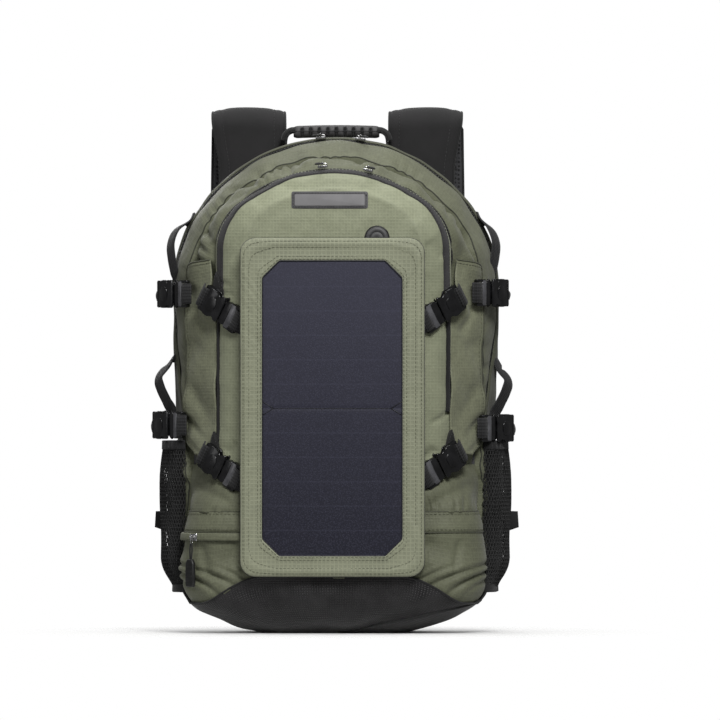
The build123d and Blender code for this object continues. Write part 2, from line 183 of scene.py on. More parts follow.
def side_x(y, z, inset=0.0):
    """How far out the bag's side is at depth y and height z."""
    rim = rim_at(np.asarray(y, float))
    crown, shoulder, side, shoulder_x, turn, shoulder_z = rim_parts(rim, inset)
    neck_z = rim.crown_centre + crown * np.cos(turn)
    over = np.sqrt(np.clip(crown**2 - (z - rim.crown_centre) ** 2, 0, None))
    around = shoulder_x + np.sqrt(np.clip(shoulder**2 - (z - shoulder_z) ** 2, 0, None))
    below = side + (rim.foot_half_width - inset - side) * (shoulder_z - z) / (shoulder_z - RIM_FOOT)
    return np.select([z >= neck_z, z >= shoulder_z], [over, around], below)


def level_at(z, reach=4.0):
    heights = [level.z for level in LEVELS]
    columns = list(zip(*LEVELS))[1:]
    return Level(z, *(soft_interp(z, heights, column, reach) for column in columns))


def level_point(a, z, y_end=None, grow=0.0):
    """A point of a level's outline. a runs from 0 at the front middle to 1 at y_end or the back middle."""
    a, z = np.broadcast_arrays(np.asarray(a, float), np.asarray(z, float))
    level = level_at(z)
    w = level.half_width + grow
    f = level.front - grow
    b = level.back + grow
    c = level.corner + grow
    first = w - c
    second = first + pi / 2 * c
    third = second + (b - f - 2 * c)
    fourth = third + pi / 2 * c
    total = fourth + w - c if y_end is None else second + (y_end - f - c)
    d = abs(a) * total
    near = (d - first) / c
    far = (d - third) / c
    where = [d < first, d < second, d < third, d < fourth]
    x = np.select(where, [d, w - c + c * np.sin(near), w, w - c + c * np.cos(far)], w - c - (d - fourth))
    y = np.select(where, [f, f + c - c * np.cos(near), f + c + d - second, b - c + c * np.sin(far)], b)
    return np.stack([np.sign(a) * x, y, z], -1)


class Surface:
    """A curved surface over u and v, with a relief that stands along its outward normal."""

    def __init__(self, base, relief=None):
        self.base = base
        self.relief = relief

    def normal(self, u, v):
        step = 1e-3
        across = self.base(u + step, v) - self.base(u - step, v)
        up = self.base(u, v + step) - self.base(u, v - step)
        normal = np.cross(across, up)
        return normal / np.maximum(np.linalg.norm(normal, axis=-1, keepdims=True), 1e-9)

    def at(self, u, v, lift=0.0):
        u, v = np.broadcast_arrays(np.asarray(u, float), np.asarray(v, float))
        points = self.base(u, v)
        height = lift if self.relief is None else self.relief(u, v, points) + lift
        height = np.broadcast_to(height, u.shape)
        return points + self.normal(u, v) * height[..., None]


# ---------------------------------------------------------------- meshes


def linked(name, data):
    """An object in the scene that shows the data."""
    obj = bpy.data.objects.new(name, data)
    bpy.context.scene.collection.objects.link(obj)
    return obj


def new_object(name, vertices, faces, uv=None):
    """A smooth mesh from points in millimetres. uv gives each vertex's place on the cloth, in metres."""
    mesh = bpy.data.meshes.new(name)
    vertices = np.asarray(vertices, float).reshape(-1, 3) * MM
    mesh.from_pydata(vertices.tolist(), [], [list(map(int, face)) for face in faces])
    mesh.polygons.foreach_set("use_smooth", np.ones(len(mesh.polygons), bool))
    if uv is not None:
        layer = mesh.uv_layers.new(name="UVMap")
        loops = np.empty(len(mesh.loops), int)
        mesh.loops.foreach_get("vertex_index", loops)
        layer.data.foreach_set("uv", np.asarray(uv, float).reshape(-1, 2)[loops].ravel())
    mesh.update()
    return linked(name, mesh)


def grid_faces(rows, columns, wrap_rows=False, wrap_columns=False):
    i = np.arange(rows if wrap_rows else rows - 1)
    j = np.arange(columns if wrap_columns else columns - 1)
    i, j = np.meshgrid(i, j, indexing="ij")
    i, j = i.ravel(), j.ravel()
    below, right = (i + 1) % rows, (j + 1) % columns
    return np.stack([i * columns + j, below * columns + j, below * columns + right, i * columns + right], 1)


def cloth_lengths(points):
    """Places on the cloth in metres, measured along the grid's two middle lines."""
    rows, columns = points.shape[:2]
    down = np.linalg.norm(np.diff(points[:, columns // 2], axis=0), axis=-1)
    across = np.linalg.norm(np.diff(points[rows // 2], axis=0), axis=-1)
    u = np.concatenate([[0], np.cumsum(down)]) * MM
    v = np.concatenate([[0], np.cumsum(across)]) * MM
    return np.stack(np.meshgrid(u, v, indexing="ij"), -1)


def modify(obj, kind, **values):
    modifier = obj.modifiers.new(kind.title(), kind)
    for key, value in values.items():
        setattr(modifier, key, value)
    return obj


def cloth(name, points, uv=None, thickness=1.2):
    """Cloth from a grid of points, with its thickness towards the inside."""
    obj = new_object(
        name, points, grid_faces(*points.shape[:2]), cloth_lengths(points) if uv is None else uv
    )
    return modify(obj, "SOLIDIFY", thickness=thickness * MM, offset=-1)


def directions(points, closed=False):
    """Unit tangents along a line of points."""
    if closed:
        run = np.roll(points, -1, 0) - np.roll(points, 1, 0)
    else:
        run = np.gradient(points, axis=0)
    return run / np.maximum(np.linalg.norm(run, axis=1, keepdims=True), 1e-9)


def sweep_mesh(points, ups, section, closed=False):
    """A section of (across, up) offsets carried along points. ups are the rough outward directions."""
    points, section = np.asarray(points, float), np.asarray(section, float)
    tangents = directions(points, closed)
    ups = np.broadcast_to(np.asarray(ups, float), points.shape)
    across = np.cross(tangents, ups)
    across /= np.maximum(np.linalg.norm(across, axis=1, keepdims=True), 1e-9)
    ups = np.cross(across, tangents)
    rings = points[:, None] + across[:, None] * section[None, :, :1] + ups[:, None] * section[None, :, 1:]
    rows, columns = rings.shape[:2]
    faces = [list(face) for face in grid_faces(rows, columns, closed, True)]
    if not closed:
        faces.append(list(range(columns)))
        faces.append([rows * columns - 1 - k for k in range(columns)])
    lengths = np.concatenate([[0], np.cumsum(np.linalg.norm(np.diff(points, axis=0), axis=1))]) * MM
    uv = np.stack(np.broadcast_arrays(lengths[:, None], section[None, :, 0] * MM), -1)
    return rings.reshape(-1, 3), faces, uv.reshape(-1, 2)


def round_section(radius, sides=8):
    return [(radius * cos(2 * pi * k / sides), -radius * sin(2 * pi * k / sides)) for k in range(sides)]


def flat_section(width, thickness, rounding=0.35):
    """A strap's section: flat with rounded edges. It stands from 0 to the thickness."""
    half, r = width / 2, thickness * rounding
    right = [(half - r, thickness), (half, thickness - r), (half, r), (half - r, 0)]
    middle = [(x, thickness) for x in (-half / 3, half / 3)]
    return [(-x, y) for x, y in reversed(right)] + middle + right


def sweep(name, points, ups, section, closed=False):
    vertices, faces, uv = sweep_mesh(points, ups, section, closed)
    return new_object(name, vertices, faces, uv)


def merged(name, parts):
    """One object from several (vertices, faces, uv) lists."""
    vertices, faces, uv, start = [], [], [], 0
    for part in parts:
        vertices.append(np.asarray(part[0], float))
        faces += [[k + start for k in face] for face in part[1]]
        uv.append(np.asarray(part[2], float) if len(part) > 2 else np.zeros((len(part[0]), 2)))
        start += len(part[0])
    return new_object(name, np.concatenate(vertices), faces, np.concatenate(uv))


def evenly(points, pitch, closed=False):
    """The line resampled to even steps of about the pitch."""
    points = np.asarray(points, float)
    if closed:
        points = np.vstack([points, points[:1]])
    run = np.concatenate([[0], np.cumsum(np.linalg.norm(np.diff(points, axis=0), axis=1))])
    count = max(2, int(round(run[-1] / pitch)) + 1)
    places = np.linspace(0, run[-1], count)
    if closed:
        places = places[:-1]
    return np.stack([np.interp(places, run, points[:, k]) for k in range(3)], 1)


def smooth_line(points, pitch=1.5, closed=False):
    """A smooth curve through given points (Catmull-Rom), in even steps."""
    points = [np.asarray(p, float) for p in points]
    count = len(points)
    found = []
    for k in range(count if closed else count - 1):
        if closed:
            a, b, c, d = (points[(k + offset) % count] for offset in (-1, 0, 1, 2))
        else:
            b, c = points[k], points[k + 1]
            a = points[k - 1] if k else 2 * b - c
            d = points[k + 2] if k + 2 < count else 2 * c - b
        for s in np.linspace(0, 1, 12, endpoint=False):
            bend = (2 * a - 5 * b + 4 * c - d) * s**2
            twist = (3 * b - a - 3 * c + d) * s**3
            found.append(0.5 * (2 * b + (c - a) * s + bend + twist))
    if not closed:
        found.append(points[-1])
    return evenly(found, pitch, closed)


def spread_over(rows, count):
    """Rows of directions interpolated to another count of rows."""
    places = np.linspace(0, len(rows) - 1, count)
    return np.stack([np.interp(places, np.arange(len(rows)), rows[:, k]) for k in range(3)], 1)


Stitch = namedtuple("Stitch", "pitch length radius")
SEAM_STITCH = Stitch(4.2, 2.8, 0.25)
BACK_STITCH = Stitch(4.2, 2.8, 0.28)
PAD_STITCH = Stitch(4, 2.7, 0.28)
PANEL_STITCH = Stitch(3.9, 2.5, 0.24)
STRAP_STITCH = Stitch(3.8, 2.5, 0.25)
ANCHOR_STITCH = Stitch(3.6, 2.4, 0.28)
TAPE_STITCH = Stitch(3.4, 2.2, 0.25)
HANDLE_STITCH = Stitch(3.2, 2.2, 0.28)
LABEL_STITCH = Stitch(2.9, 1.9, 0.22)
COVER_STITCH = Stitch(2.8, 1.9, 0.22)
TAB_STITCH = Stitch(2.6, 1.8, 0.25)


def stitch_parts(points, ups, stitch, lift=0.1):
    """A row of thread dashes along a line that lies on a surface."""
    line = evenly(points, stitch.pitch)
    ups = spread_over(np.broadcast_to(np.asarray(ups, float), np.shape(points)), len(line))
    tangents = directions(line)
    parts = []
    for place, up, tangent in zip(line, ups, tangents):
        ends = [place + tangent * share * stitch.length for share in (-0.5, -0.3, 0, 0.3, 0.5)]
        heights = (-0.4, 0.15, 0.3, 0.15, -0.4)
        run = np.array([end + up * (lift + height * 0.6) for end, height in zip(ends, heights)])
        parts.append(sweep_mesh(run, up, round_section(stitch.radius, 5)))
    return parts


def hard_piece(name, outline, low, high, bevel=0.8, segments=3, place=None):
    """A plate with the given outline between two heights, with rounded edges."""
    mesh = bmesh.new()
    bottom = [mesh.verts.new((x * MM, y * MM, low * MM)) for x, y in outline]
    mesh.faces.new(list(reversed(bottom)))
    top = [mesh.verts.new((x * MM, y * MM, high * MM)) for x, y in outline]
    mesh.faces.new(top)
    for k in range(len(outline)):
        after = (k + 1) % len(outline)
        mesh.faces.new((bottom[k], bottom[after], top[after], top[k]))
    rims = [edge for edge in mesh.edges if abs(edge.verts[0].co.z - edge.verts[1].co.z) < 1e-9]
    if bevel:
        bmesh.ops.bevel(mesh, geom=rims, offset=bevel * MM, segments=segments, affect="EDGES", profile=0.6)
    bmesh.ops.recalc_face_normals(mesh, faces=mesh.faces)
    data = bpy.data.meshes.new(name)
    mesh.to_mesh(data)
    mesh.free()
    data.polygons.foreach_set("use_smooth", np.ones(len(data.polygons), bool))
    obj = linked(name, data)
    sharpen(obj)
    if place is not None:
        data.transform(place)
    return obj


def sharpen(obj, degrees=40):
    """Keeps edges sharper than the angle crisp in an otherwise smooth mesh."""
    obj.data.set_sharp_from_angle(angle=radians(degrees))


def upright(x, y, z=0.0):
    """The matrix that stands a flat piece up to face the front, at a place in millimetres."""
    return Matrix.Translation(Vector((x, y, z)) * MM) @ Matrix.Rotation(radians(90), 4, "X")


def box_of(node):
    """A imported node's low and high corners in millimetres, and its middle in x and z."""
    low, high = (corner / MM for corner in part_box(node))
    return low, high, ((low.x + high.x) / 2, (low.z + high.z) / 2)


def join(name, pieces):
    """Several objects as one mesh, under the given name."""
    target = pieces[0]
    bpy.ops.object.select_all(action="DESELECT")
    for piece in pieces:
        piece.select_set(True)
    bpy.context.view_layer.objects.active = target
    if len(pieces) > 1:
        bpy.ops.object.join()
    target.name = name
    target.data.name = name
    return target


def rounded_outline(width, height, radius, centre=(0, 0), steps=6):
    """A rounded rectangle's corner points, anticlockwise."""
    points = []
    for k, (sx, sy) in enumerate([(1, 1), (-1, 1), (-1, -1), (1, -1)]):
        for s in np.linspace(0, pi / 2, steps):
            angle = k * pi / 2 + s
            points.append(
                (
                    centre[0] + sx * (width / 2 - radius) + radius * cos(angle),
                    centre[1] + sy * (height / 2 - radius) + radius * sin(angle),
                )
            )
    return points


def trim(name, line, ups, section, material, body="bag", replaces=(), closed=False):
    """A piping, binding, cord or webbing: a section carried along a line, as a finished piece."""
    return finish_piece(sweep(name, line, ups, section, closed), material, body, replaces)


def finish_piece(obj, material, body="bag", replaces=()):
    """Gives a piece its material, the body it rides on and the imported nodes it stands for."""
    obj.data.materials.clear()
    obj.data.materials.append(material)
    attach(obj, body)
    if replaces:
        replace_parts(obj, *replaces)
    return obj


# ---------------------------------------------------------------- materials


def srgb(r, g, b):
    """A colour of 0 to 255 as the linear one that shaders use."""
    values = [c / 255 for c in (r, g, b)]
    return tuple(c / 12.92 if c < 0.04045 else ((c + 0.055) / 1.055) ** 2.4 for c in values) + (1.0,)


class Shader:
    """A short way to write a node material."""

    def __init__(self, name, roughness=0.8, metallic=0.0, **constants):
        self.material = bpy.data.materials.new(name)
        self.material.use_nodes = True
        self.nodes = self.material.node_tree.nodes
        self.links = self.material.node_tree.links
        self.surface = self.nodes["Principled BSDF"]
        self.surface.inputs["Roughness"].default_value = roughness
        self.surface.inputs["Metallic"].default_value = metallic
        for key, value in constants.items():
            self.surface.inputs[key.replace("_", " ")].default_value = value

    def node(self, kind, inputs=None, **settings):
        node = self.nodes.new("ShaderNode" + kind)
        for key, value in settings.items():
            setattr(node, key, value)
        for key, value in (inputs or {}).items():
            if isinstance(value, bpy.types.NodeSocket):
                self.links.new(value, node.inputs[key])
            else:
                node.inputs[key].default_value = value
        return node

    def place(self, kind="Object"):
        return self.node("TexCoord").outputs[kind]

    def math(self, operation, a, b=0.5, c=0.5):
        return self.node("Math", {0: a, 1: b, 2: c}, operation=operation).outputs[0]

    def noise(self, place, scale, detail=3.0, roughness=0.55):
        inputs = {"Vector": place, "Scale": scale, "Detail": detail, "Roughness": roughness}
        return self.node("TexNoise", inputs).outputs["Fac"]

    def ramp(self, value, low, high, a=0.0, b=1.0):
        inputs = {"Value": value, "From Min": low, "From Max": high, "To Min": a, "To Max": b}
        return self.node("MapRange", inputs, clamp=True).outputs["Result"]

    def mix(self, factor, a, b, blend="MIX"):
        node = self.node("Mix", data_type="RGBA", blend_type=blend)
        for index, value in ((0, factor), (6, a), (7, b)):
            if isinstance(value, bpy.types.NodeSocket):
                self.links.new(value, node.inputs[index])
            else:
                node.inputs[index].default_value = value
        return node.outputs[2]

    def threads(self, place, pitch, width):
        """1 along the lines of a square grid on the cloth, 0 between them."""
        split = self.node("SeparateXYZ", {"Vector": place})
        lines = []
        for axis in ("X", "Y"):
            wave = self.math("PINGPONG", split.outputs[axis], pitch / 2)
            lines.append(self.ramp(wave, pitch / 2 - width, pitch / 2 - width * 0.3))
        return self.math("MAXIMUM", *lines)

    def ribs(self, place, axis, pitch):
        split = self.node("SeparateXYZ", {"Vector": place})
        wave = self.math("MULTIPLY", split.outputs[axis], 2 * pi / pitch)
        return self.math("MULTIPLY_ADD", self.math("SINE", wave), 0.5, 0.5)

    def finish(self, colour=None, roughness=None, height=None, distance=0.0004, strength=0.6):
        for key, value in (("Base Color", colour), ("Roughness", roughness)):
            if isinstance(value, bpy.types.NodeSocket):
                self.links.new(value, self.surface.inputs[key])
            elif value is not None:
                self.surface.inputs[key].default_value = value
        if height is not None:
            bump = self.node("Bump", {"Height": height, "Distance": distance, "Strength": strength})
            self.links.new(bump.outputs["Normal"], self.surface.inputs["Normal"])
        return self.material


def ripstop(name, light, dark, pitch=0.0038, grid=0.35, shine=0.62, mottle=0.5, crumpled=9.0):
    """Coated nylon with a square reinforcing grid, a fine weave and soft blotches."""
    shader = Shader(name, Sheen_Weight=0.12, Sheen_Roughness=0.5, Specular_IOR_Level=0.35)
    cloth_place = shader.place("UV")
    space = shader.place("Object")
    lines = shader.threads(cloth_place, pitch, pitch * 0.2)
    weave = shader.noise(space, 900.0, 2.0, 0.7)
    blotch = shader.noise(space, 30.0, 4.0, 0.6)
    heather = shader.noise(space, 330.0, 2.0, 0.6)
    fine = shader.math("MULTIPLY", shader.ramp(heather, 0.3, 0.7), mottle)
    tone = shader.math("MULTIPLY_ADD", shader.ramp(blotch, 0.3, 0.7), 1.0 - mottle, fine)
    colour = shader.mix(tone, dark, light)
    brighter = tuple(min(1.0, c * 1.35) for c in light[:3]) + (1.0,)
    colour = shader.mix(shader.math("MULTIPLY", lines, grid), colour, brighter)
    height = shader.math("ADD", shader.math("MULTIPLY", lines, 0.8), shader.math("MULTIPLY", weave, 0.6))
    crumple = shader.noise(space, 42.0, 3.0, 0.55)
    height = shader.math("MULTIPLY_ADD", crumple, crumpled, height)
    roughness = shader.ramp(blotch, 0.2, 0.8, shine - 0.06, shine + 0.08)
    return shader.finish(colour, roughness, height, 0.0003, 0.5)


def plain_weave(
    name, light, dark, pitch=0.0011, roughness=0.8, strength=0.6, distance=0.0004, weave_tint=0.4
):
    """A plain woven or twill cloth with threads both ways."""
    shader = Shader(name, Sheen_Weight=0.15, Sheen_Roughness=0.5, Specular_IOR_Level=0.3)
    place = shader.place("UV")
    along = shader.ribs(place, "X", pitch)
    across = shader.ribs(place, "Y", pitch)
    weave = shader.math("MULTIPLY", along, across)
    # Soft blotches of lighter and darker cloth: random wear, and on the base cloth, with its wide range,
    # painted sheen.
    wear_and_sheen = shader.noise(shader.place("Object"), 45.0, 4.0)
    colour = shader.mix(shader.ramp(wear_and_sheen, 0.3, 0.7), dark, light)
    colour = shader.mix(shader.math("MULTIPLY", weave, weave_tint), colour, light)
    return shader.finish(
        colour, shader.ramp(wear_and_sheen, 0.2, 0.8, roughness - 0.05, roughness + 0.07), weave, distance, strength
    )


def ribbed(name, light, dark, pitch=0.0014, roughness=0.7):
    """Narrow webbing: ribs across its length and a fine weave along it."""
    shader = Shader(name, Sheen_Weight=0.1, Specular_IOR_Level=0.35)
    place = shader.place("UV")
    ribs = shader.ribs(place, "X", pitch)
    cords = shader.ribs(place, "Y", pitch * 2.2)
    height = shader.math("ADD", ribs, shader.math("MULTIPLY", cords, 0.7))
    colour = shader.mix(shader.math("MULTIPLY", height, 0.55), dark, light)
    return shader.finish(colour, roughness, height, 0.0005, 0.7)


def moulded(name, light, dark, roughness=0.36, grain=0.35):
    """Moulded plastic or rubber with a fine grain and scuffs."""
    shader = Shader(name, roughness, Specular_IOR_Level=0.5)
    space = shader.place("Object")
    fine = shader.noise(space, 1400.0, 2.0)
    scuff = shader.noise(space, 90.0, 4.0)
    colour = shader.mix(shader.ramp(scuff, 0.35, 0.75), dark, light)
    return shader.finish(
        colour, shader.ramp(scuff, 0.3, 0.75, roughness - 0.08, roughness + 0.14), fine, 0.0001, grain
    )


def metal(name, colour, roughness):
    shader = Shader(name, roughness, 1.0)
    space = shader.place("Object")
    rub = shader.noise(space, 420.0, 3.0)
    tone = shader.mix(shader.ramp(rub, 0.3, 0.7), tuple(c * 0.8 for c in colour[:3]) + (1.0,), colour)
    return shader.finish(
        tone, shader.ramp(rub, 0.3, 0.7, roughness - 0.08, roughness + 0.1), rub, 0.00008, 0.3
    )


def spacer_mesh(name, light, dark, pitch=0.0042):
    """Padded air mesh: rows of small holes between soft raised threads."""
    shader = Shader(name, 0.9, Sheen_Weight=0.2)
    space = shader.place("Object")
    cells = shader.node(
        "TexVoronoi", {"Vector": space, "Scale": 1 / pitch, "Randomness": 0.35}, feature="F1"
    )
    hole = shader.ramp(cells.outputs["Distance"], 0.18, 0.42)
    fuzz = shader.noise(space, 1200.0, 2.0)
    colour = shader.mix(hole, dark, light)
    height = shader.math("ADD", hole, shader.math("MULTIPLY", fuzz, 0.3))
    return shader.finish(colour, 0.9, height, 0.0012, 0.8)


def solar_glass_with_painted_sheen(name, upper, lower, speck):
    """The laminate's coated film: a fine speckle under a soft satin coat, with a painted sheen that makes it
    lighter towards the top.
    """
    shader = Shader(name, 0.42, Coat_Weight=0.1, Coat_Roughness=0.3, Specular_IOR_Level=0.25)
    space = shader.place("Object")
    split = shader.node("SeparateXYZ", {"Vector": space})
    # Lighter higher up: painted sheen.
    rise = shader.ramp(split.outputs["Z"], 0.08, 0.37)
    base = shader.mix(rise, lower, upper)
    grains = shader.node("TexVoronoi", {"Vector": space, "Scale": 620.0}, feature="F1")
    dots = shader.ramp(grains.outputs["Distance"], 0.05, 0.55, 1.0, 0.0)
    colour = shader.mix(shader.math("MULTIPLY", dots, 0.3), base, speck)
    busbars = shader.ribs(space, "Z", 0.0242)
    line = shader.ramp(busbars, 0.985, 1.0)
    colour = shader.mix(shader.math("MULTIPLY", line, 0.12), colour, speck)
    fine = shader.noise(space, 700.0, 2.0)
    return shader.finish(colour, shader.ramp(fine, 0.3, 0.7, 0.36, 0.5), dots, 0.00012, 0.35)


def two_tone(shade, drop=0.72):
    """A colour and a darker one of the same hue."""
    return srgb(*shade), srgb(*(int(c * drop) for c in shade))


GREEN = ripstop("green_ripstop", *two_tone((151, 155, 129), 0.86), pitch=0.0032, grid=0.16)
# A darker copy of the front's olive ripstop for the front and middle gussets: painted shade.
SHADED_GUSSET_GREEN = ripstop(
    "gusset_ripstop", *two_tone((110, 113, 91), 0.8), pitch=0.0032, grid=0.14, crumpled=16.0
)
# A near-black copy of the olive ripstop for the cord along the gathered seam: painted shadow in the seam.
SEAM_SHADOW_GREEN = ripstop("seam_cloth", *two_tone((58, 60, 48), 0.8), grid=0.1)
# The front's olive ripstop made much darker: painted shade for the bag's rear sides and the dark edge cords.
SHADED_SIDE_GREEN = ripstop("green_side_cloth", *two_tone((82, 84, 67), 0.84), grid=0.12, mottle=0.6)
# A darker copy of the front's olive ripstop for the side wings: painted shade.
SHADED_WING_GREEN = ripstop(
    "wing_ripstop", *two_tone((134, 137, 112), 0.8), pitch=0.0032, grid=0.14, crumpled=16.0
)
# A darker copy of the front's olive ripstop for the lower pocket, its band, zip lip and yoke: painted shade
# on the bag's lower part.
SHADED_LOW_GREEN = ripstop(
    "pocket_ripstop", *two_tone((110, 113, 91), 0.8), pitch=0.0032, grid=0.14, crumpled=14.0
)
PANEL_GREEN = ripstop(
    "panel_ripstop", *two_tone((143, 146, 123), 0.88), pitch=0.0042, grid=0.36, mottle=0.35, crumpled=2.0
)
# Black cloth whose blotches run from near black to a lighter grey: painted sheen, along with the weave.
BASE_CLOTH_PAINTED_SHEEN = plain_weave(
    "base_cloth", *two_tone((40, 39, 40), 0.28), pitch=0.0024, roughness=0.38, strength=1.0, weave_tint=0.75
)
BLACK_CLOTH = plain_weave("black_cloth", *two_tone((40, 40, 41), 0.6))
STRAP_CLOTH = plain_weave(
    "strap_cloth", *two_tone((41, 40, 41), 0.8), pitch=0.0009, roughness=0.85, strength=0.35
)
BINDING = plain_weave("binding_tape", *two_tone((58, 57, 58), 0.8), pitch=0.0012, roughness=0.75)
DARK_BINDING = plain_weave("dark_binding", *two_tone((34, 34, 34), 0.7), pitch=0.0012, roughness=0.75)
WEBBING = ribbed("black_webbing", srgb(48, 48, 49), srgb(15, 15, 16))
ZIP_TAPE = plain_weave("zip_tape_cloth", *two_tone((34, 34, 33), 0.6), pitch=0.001)
ZIP_COIL = moulded("zip_coil_nylon", srgb(52, 52, 50), srgb(22, 22, 21), 0.4)
BUCKLE = moulded("buckle_plastic", srgb(30, 30, 32), srgb(15, 15, 16), 0.18)
# The thumb bars are pale grey on black plastic: a painted highlight.
HIGHLIGHT_BAR_PLASTIC = moulded("buckle_bar_plastic", srgb(104, 104, 107), srgb(72, 72, 75), 0.22)
RUBBER = moulded("grip_rubber", srgb(74, 73, 74), srgb(46, 45, 46), 0.55, 0.6)
BLACK_RUBBER = moulded("pull_rubber", srgb(38, 38, 38), srgb(18, 18, 18), 0.42, 0.5)
# Near-black plates for the grip's slots: painted shade in the grooves.
SLOT_SHADE_RUBBER = moulded("slot_rubber", srgb(14, 14, 14), srgb(6, 6, 6), 0.8)
GROMMET = moulded("grommet_rubber", srgb(88, 88, 88), srgb(60, 60, 61), 0.5, 0.4)
METAL = metal("slider_metal", srgb(205, 205, 205), 0.22)
NET = plain_weave("net_yarn", *two_tone((44, 44, 44), 0.6), pitch=0.0006)
# A near-black net for a layer inside each mesh pocket: painted shade of the pocket's inside.
POCKET_SHADE_NET = spacer_mesh("inner_net", srgb(24, 24, 25), srgb(10, 10, 10), 0.003)
AIR_MESH = spacer_mesh("air_mesh", srgb(58, 58, 60), srgb(14, 14, 15))
PATCH = plain_weave(
    "patch_rubber", *two_tone((136, 135, 136), 0.9), pitch=0.0012, roughness=0.6, strength=0.25
)
PATCH_RIM = moulded("patch_border", srgb(96, 95, 97), srgb(82, 81, 83), 0.55, 0.4)
# The film's upper colour is a painted sheen: the film turns lighter going up from the lower colour.
LAMINATE = solar_glass_with_painted_sheen("solar_film", srgb(58, 58, 71), srgb(33, 33, 44), srgb(84, 85, 104))
CELL_EDGE = moulded("cell_edge", srgb(36, 36, 44), srgb(26, 26, 32), 0.4)
LINING = plain_weave("lining_cloth", *two_tone((98, 98, 99), 0.8), pitch=0.0012)
STIFFENER = moulded("stiffener_sheet", srgb(120, 120, 118), srgb(100, 100, 98), 0.6)
THREAD = plain_weave("green_thread", *two_tone((104, 106, 84), 0.8), pitch=0.0004, roughness=0.7)
BLACK_THREAD = plain_weave("black_thread", *two_tone((66, 66, 67), 0.7), pitch=0.0004, roughness=0.7)


# ---------------------------------------------------------------- the bag's sewn shells

SIDE_FOOT = 40.0
MID_FOOT = 112.0
ARC = 620.0  # about half the outline's length, which turns t into millimetres


def main_zip_y(t):
    """The main zip's depth: level over the crown, then swinging forward down each side."""
    down = abs(t)
    forward = 38 * ease((down - 0.5) / 0.17) - 12 * ease((down - 0.72) / 0.2)
    return MAIN_ZIP_Y - forward


def t_at_height(z, y, foot_z):
    """How far round the outline at depth y the height z is, on the right."""
    t = np.linspace(0.2, 1, 500)
    return float(np.interp(-z, -bag_point(t, y, foot_z)[:, 2], t))


def seam_y(t):
    """The gathered seam between the main and the front parts wanders as it is pulled."""
    return SEAM_Y + 2.6 * ripple(t * ARC, 0, 95, 11) + 1.2 * ripple(t * ARC, 0, 34, 12)


def rear_relief(t, y, p):
    half_depth = (BACK_Y - MAIN_ZIP_Y) / 2
    swell = 2.2 * np.clip((BACK_Y - y) * (y - main_zip_y(t)) / half_depth**2, 0, 1)
    edge = -1.4 * hump(y, BACK_Y + 2, 5)
    return swell + edge + 0.5 * ripple(t * ARC, y, 42, 21) - 1.6 * hump(y, main_zip_y(t), 4)


def front_gusset_relief(t, y, p):
    seam = seam_y(t)
    inside = np.clip((y - seam) / (main_zip_y(t) - seam), 0, 1)
    swell = 3.0 * 4 * inside * (1 - inside)
    pucker = 2.6 * folds(t * ARC, y, 21, 31) * hump(y, seam, 17)
    waves = 1.3 * ripple(t * ARC, y * 0.8, 46, 33)
    tuck_in = 8.0 * ease((seam + 2.4 - y) / 2.4)
    return swell - pucker + waves - 1.6 * hump(y, main_zip_y(t), 4) - tuck_in


def mid_relief(t, y, p):
    seam = seam_y(t)
    inside = np.clip((y - ZIP_Y) / (seam - ZIP_Y), 0, 1)
    swell = 2.4 * 4 * inside * (1 - inside)
    pucker = 3.4 * folds(t * ARC + 9, y, 24, 41) * ease((y - ZIP_Y) / 26)
    waves = 2.4 * ripple(t * ARC, y, 52, 43) * ease((y - ZIP_Y + 2) / 20)
    pulled = 3.2 * hump(y, seam, 6) + 1.6 * hump(y, ZIP_Y + 3, 5)
    tucks = creases(p[..., 0], p[..., 2], (
        ((82, 436), (86, 407), 3.0, 5),
        ((-86, 433), (-93, 404), 3.0, 5),
        ((118, 388), (101, 372), 3.2, 4),
        ((-122, 392), (-112, 366), 3.4, 5),
        ((-42, 462), (-50, 446), 2.0, 4),
        ((30, 466), (22, 448), 2.2, 4),
        ((60, 452), (70, 436), 2.6, 4),
        ((102, 414), (88, 398), 3.0, 4),
    ))
    under_wing = 4.5 * ease((374 - p[..., 2]) / 16)
    return swell - pucker + waves - pulled - tucks - under_wing


rear_surface = Surface(lambda t, y: bag_point(t, y, SIDE_FOOT), rear_relief)
front_gusset_surface = Surface(lambda t, y: bag_point(t, y, SIDE_FOOT), front_gusset_relief)
mid_surface = Surface(lambda t, y: bag_point(t, y, MID_FOOT), mid_relief)


def strip_of(surface, near, far, rows, columns, lift=0.0):
    """Grid points of a surface from depth near(t) to far(t), with closer rows at both ends."""
    t = np.linspace(-1, 1, columns)[:, None]
    share = np.concatenate([[0, 0.015, 0.03, 0.045, 0.06], np.linspace(0.08, 0.98, rows), [1]])[None, :]
    y = near(t) + (far(t) - near(t)) * share
    return surface.at(t, y, lift)


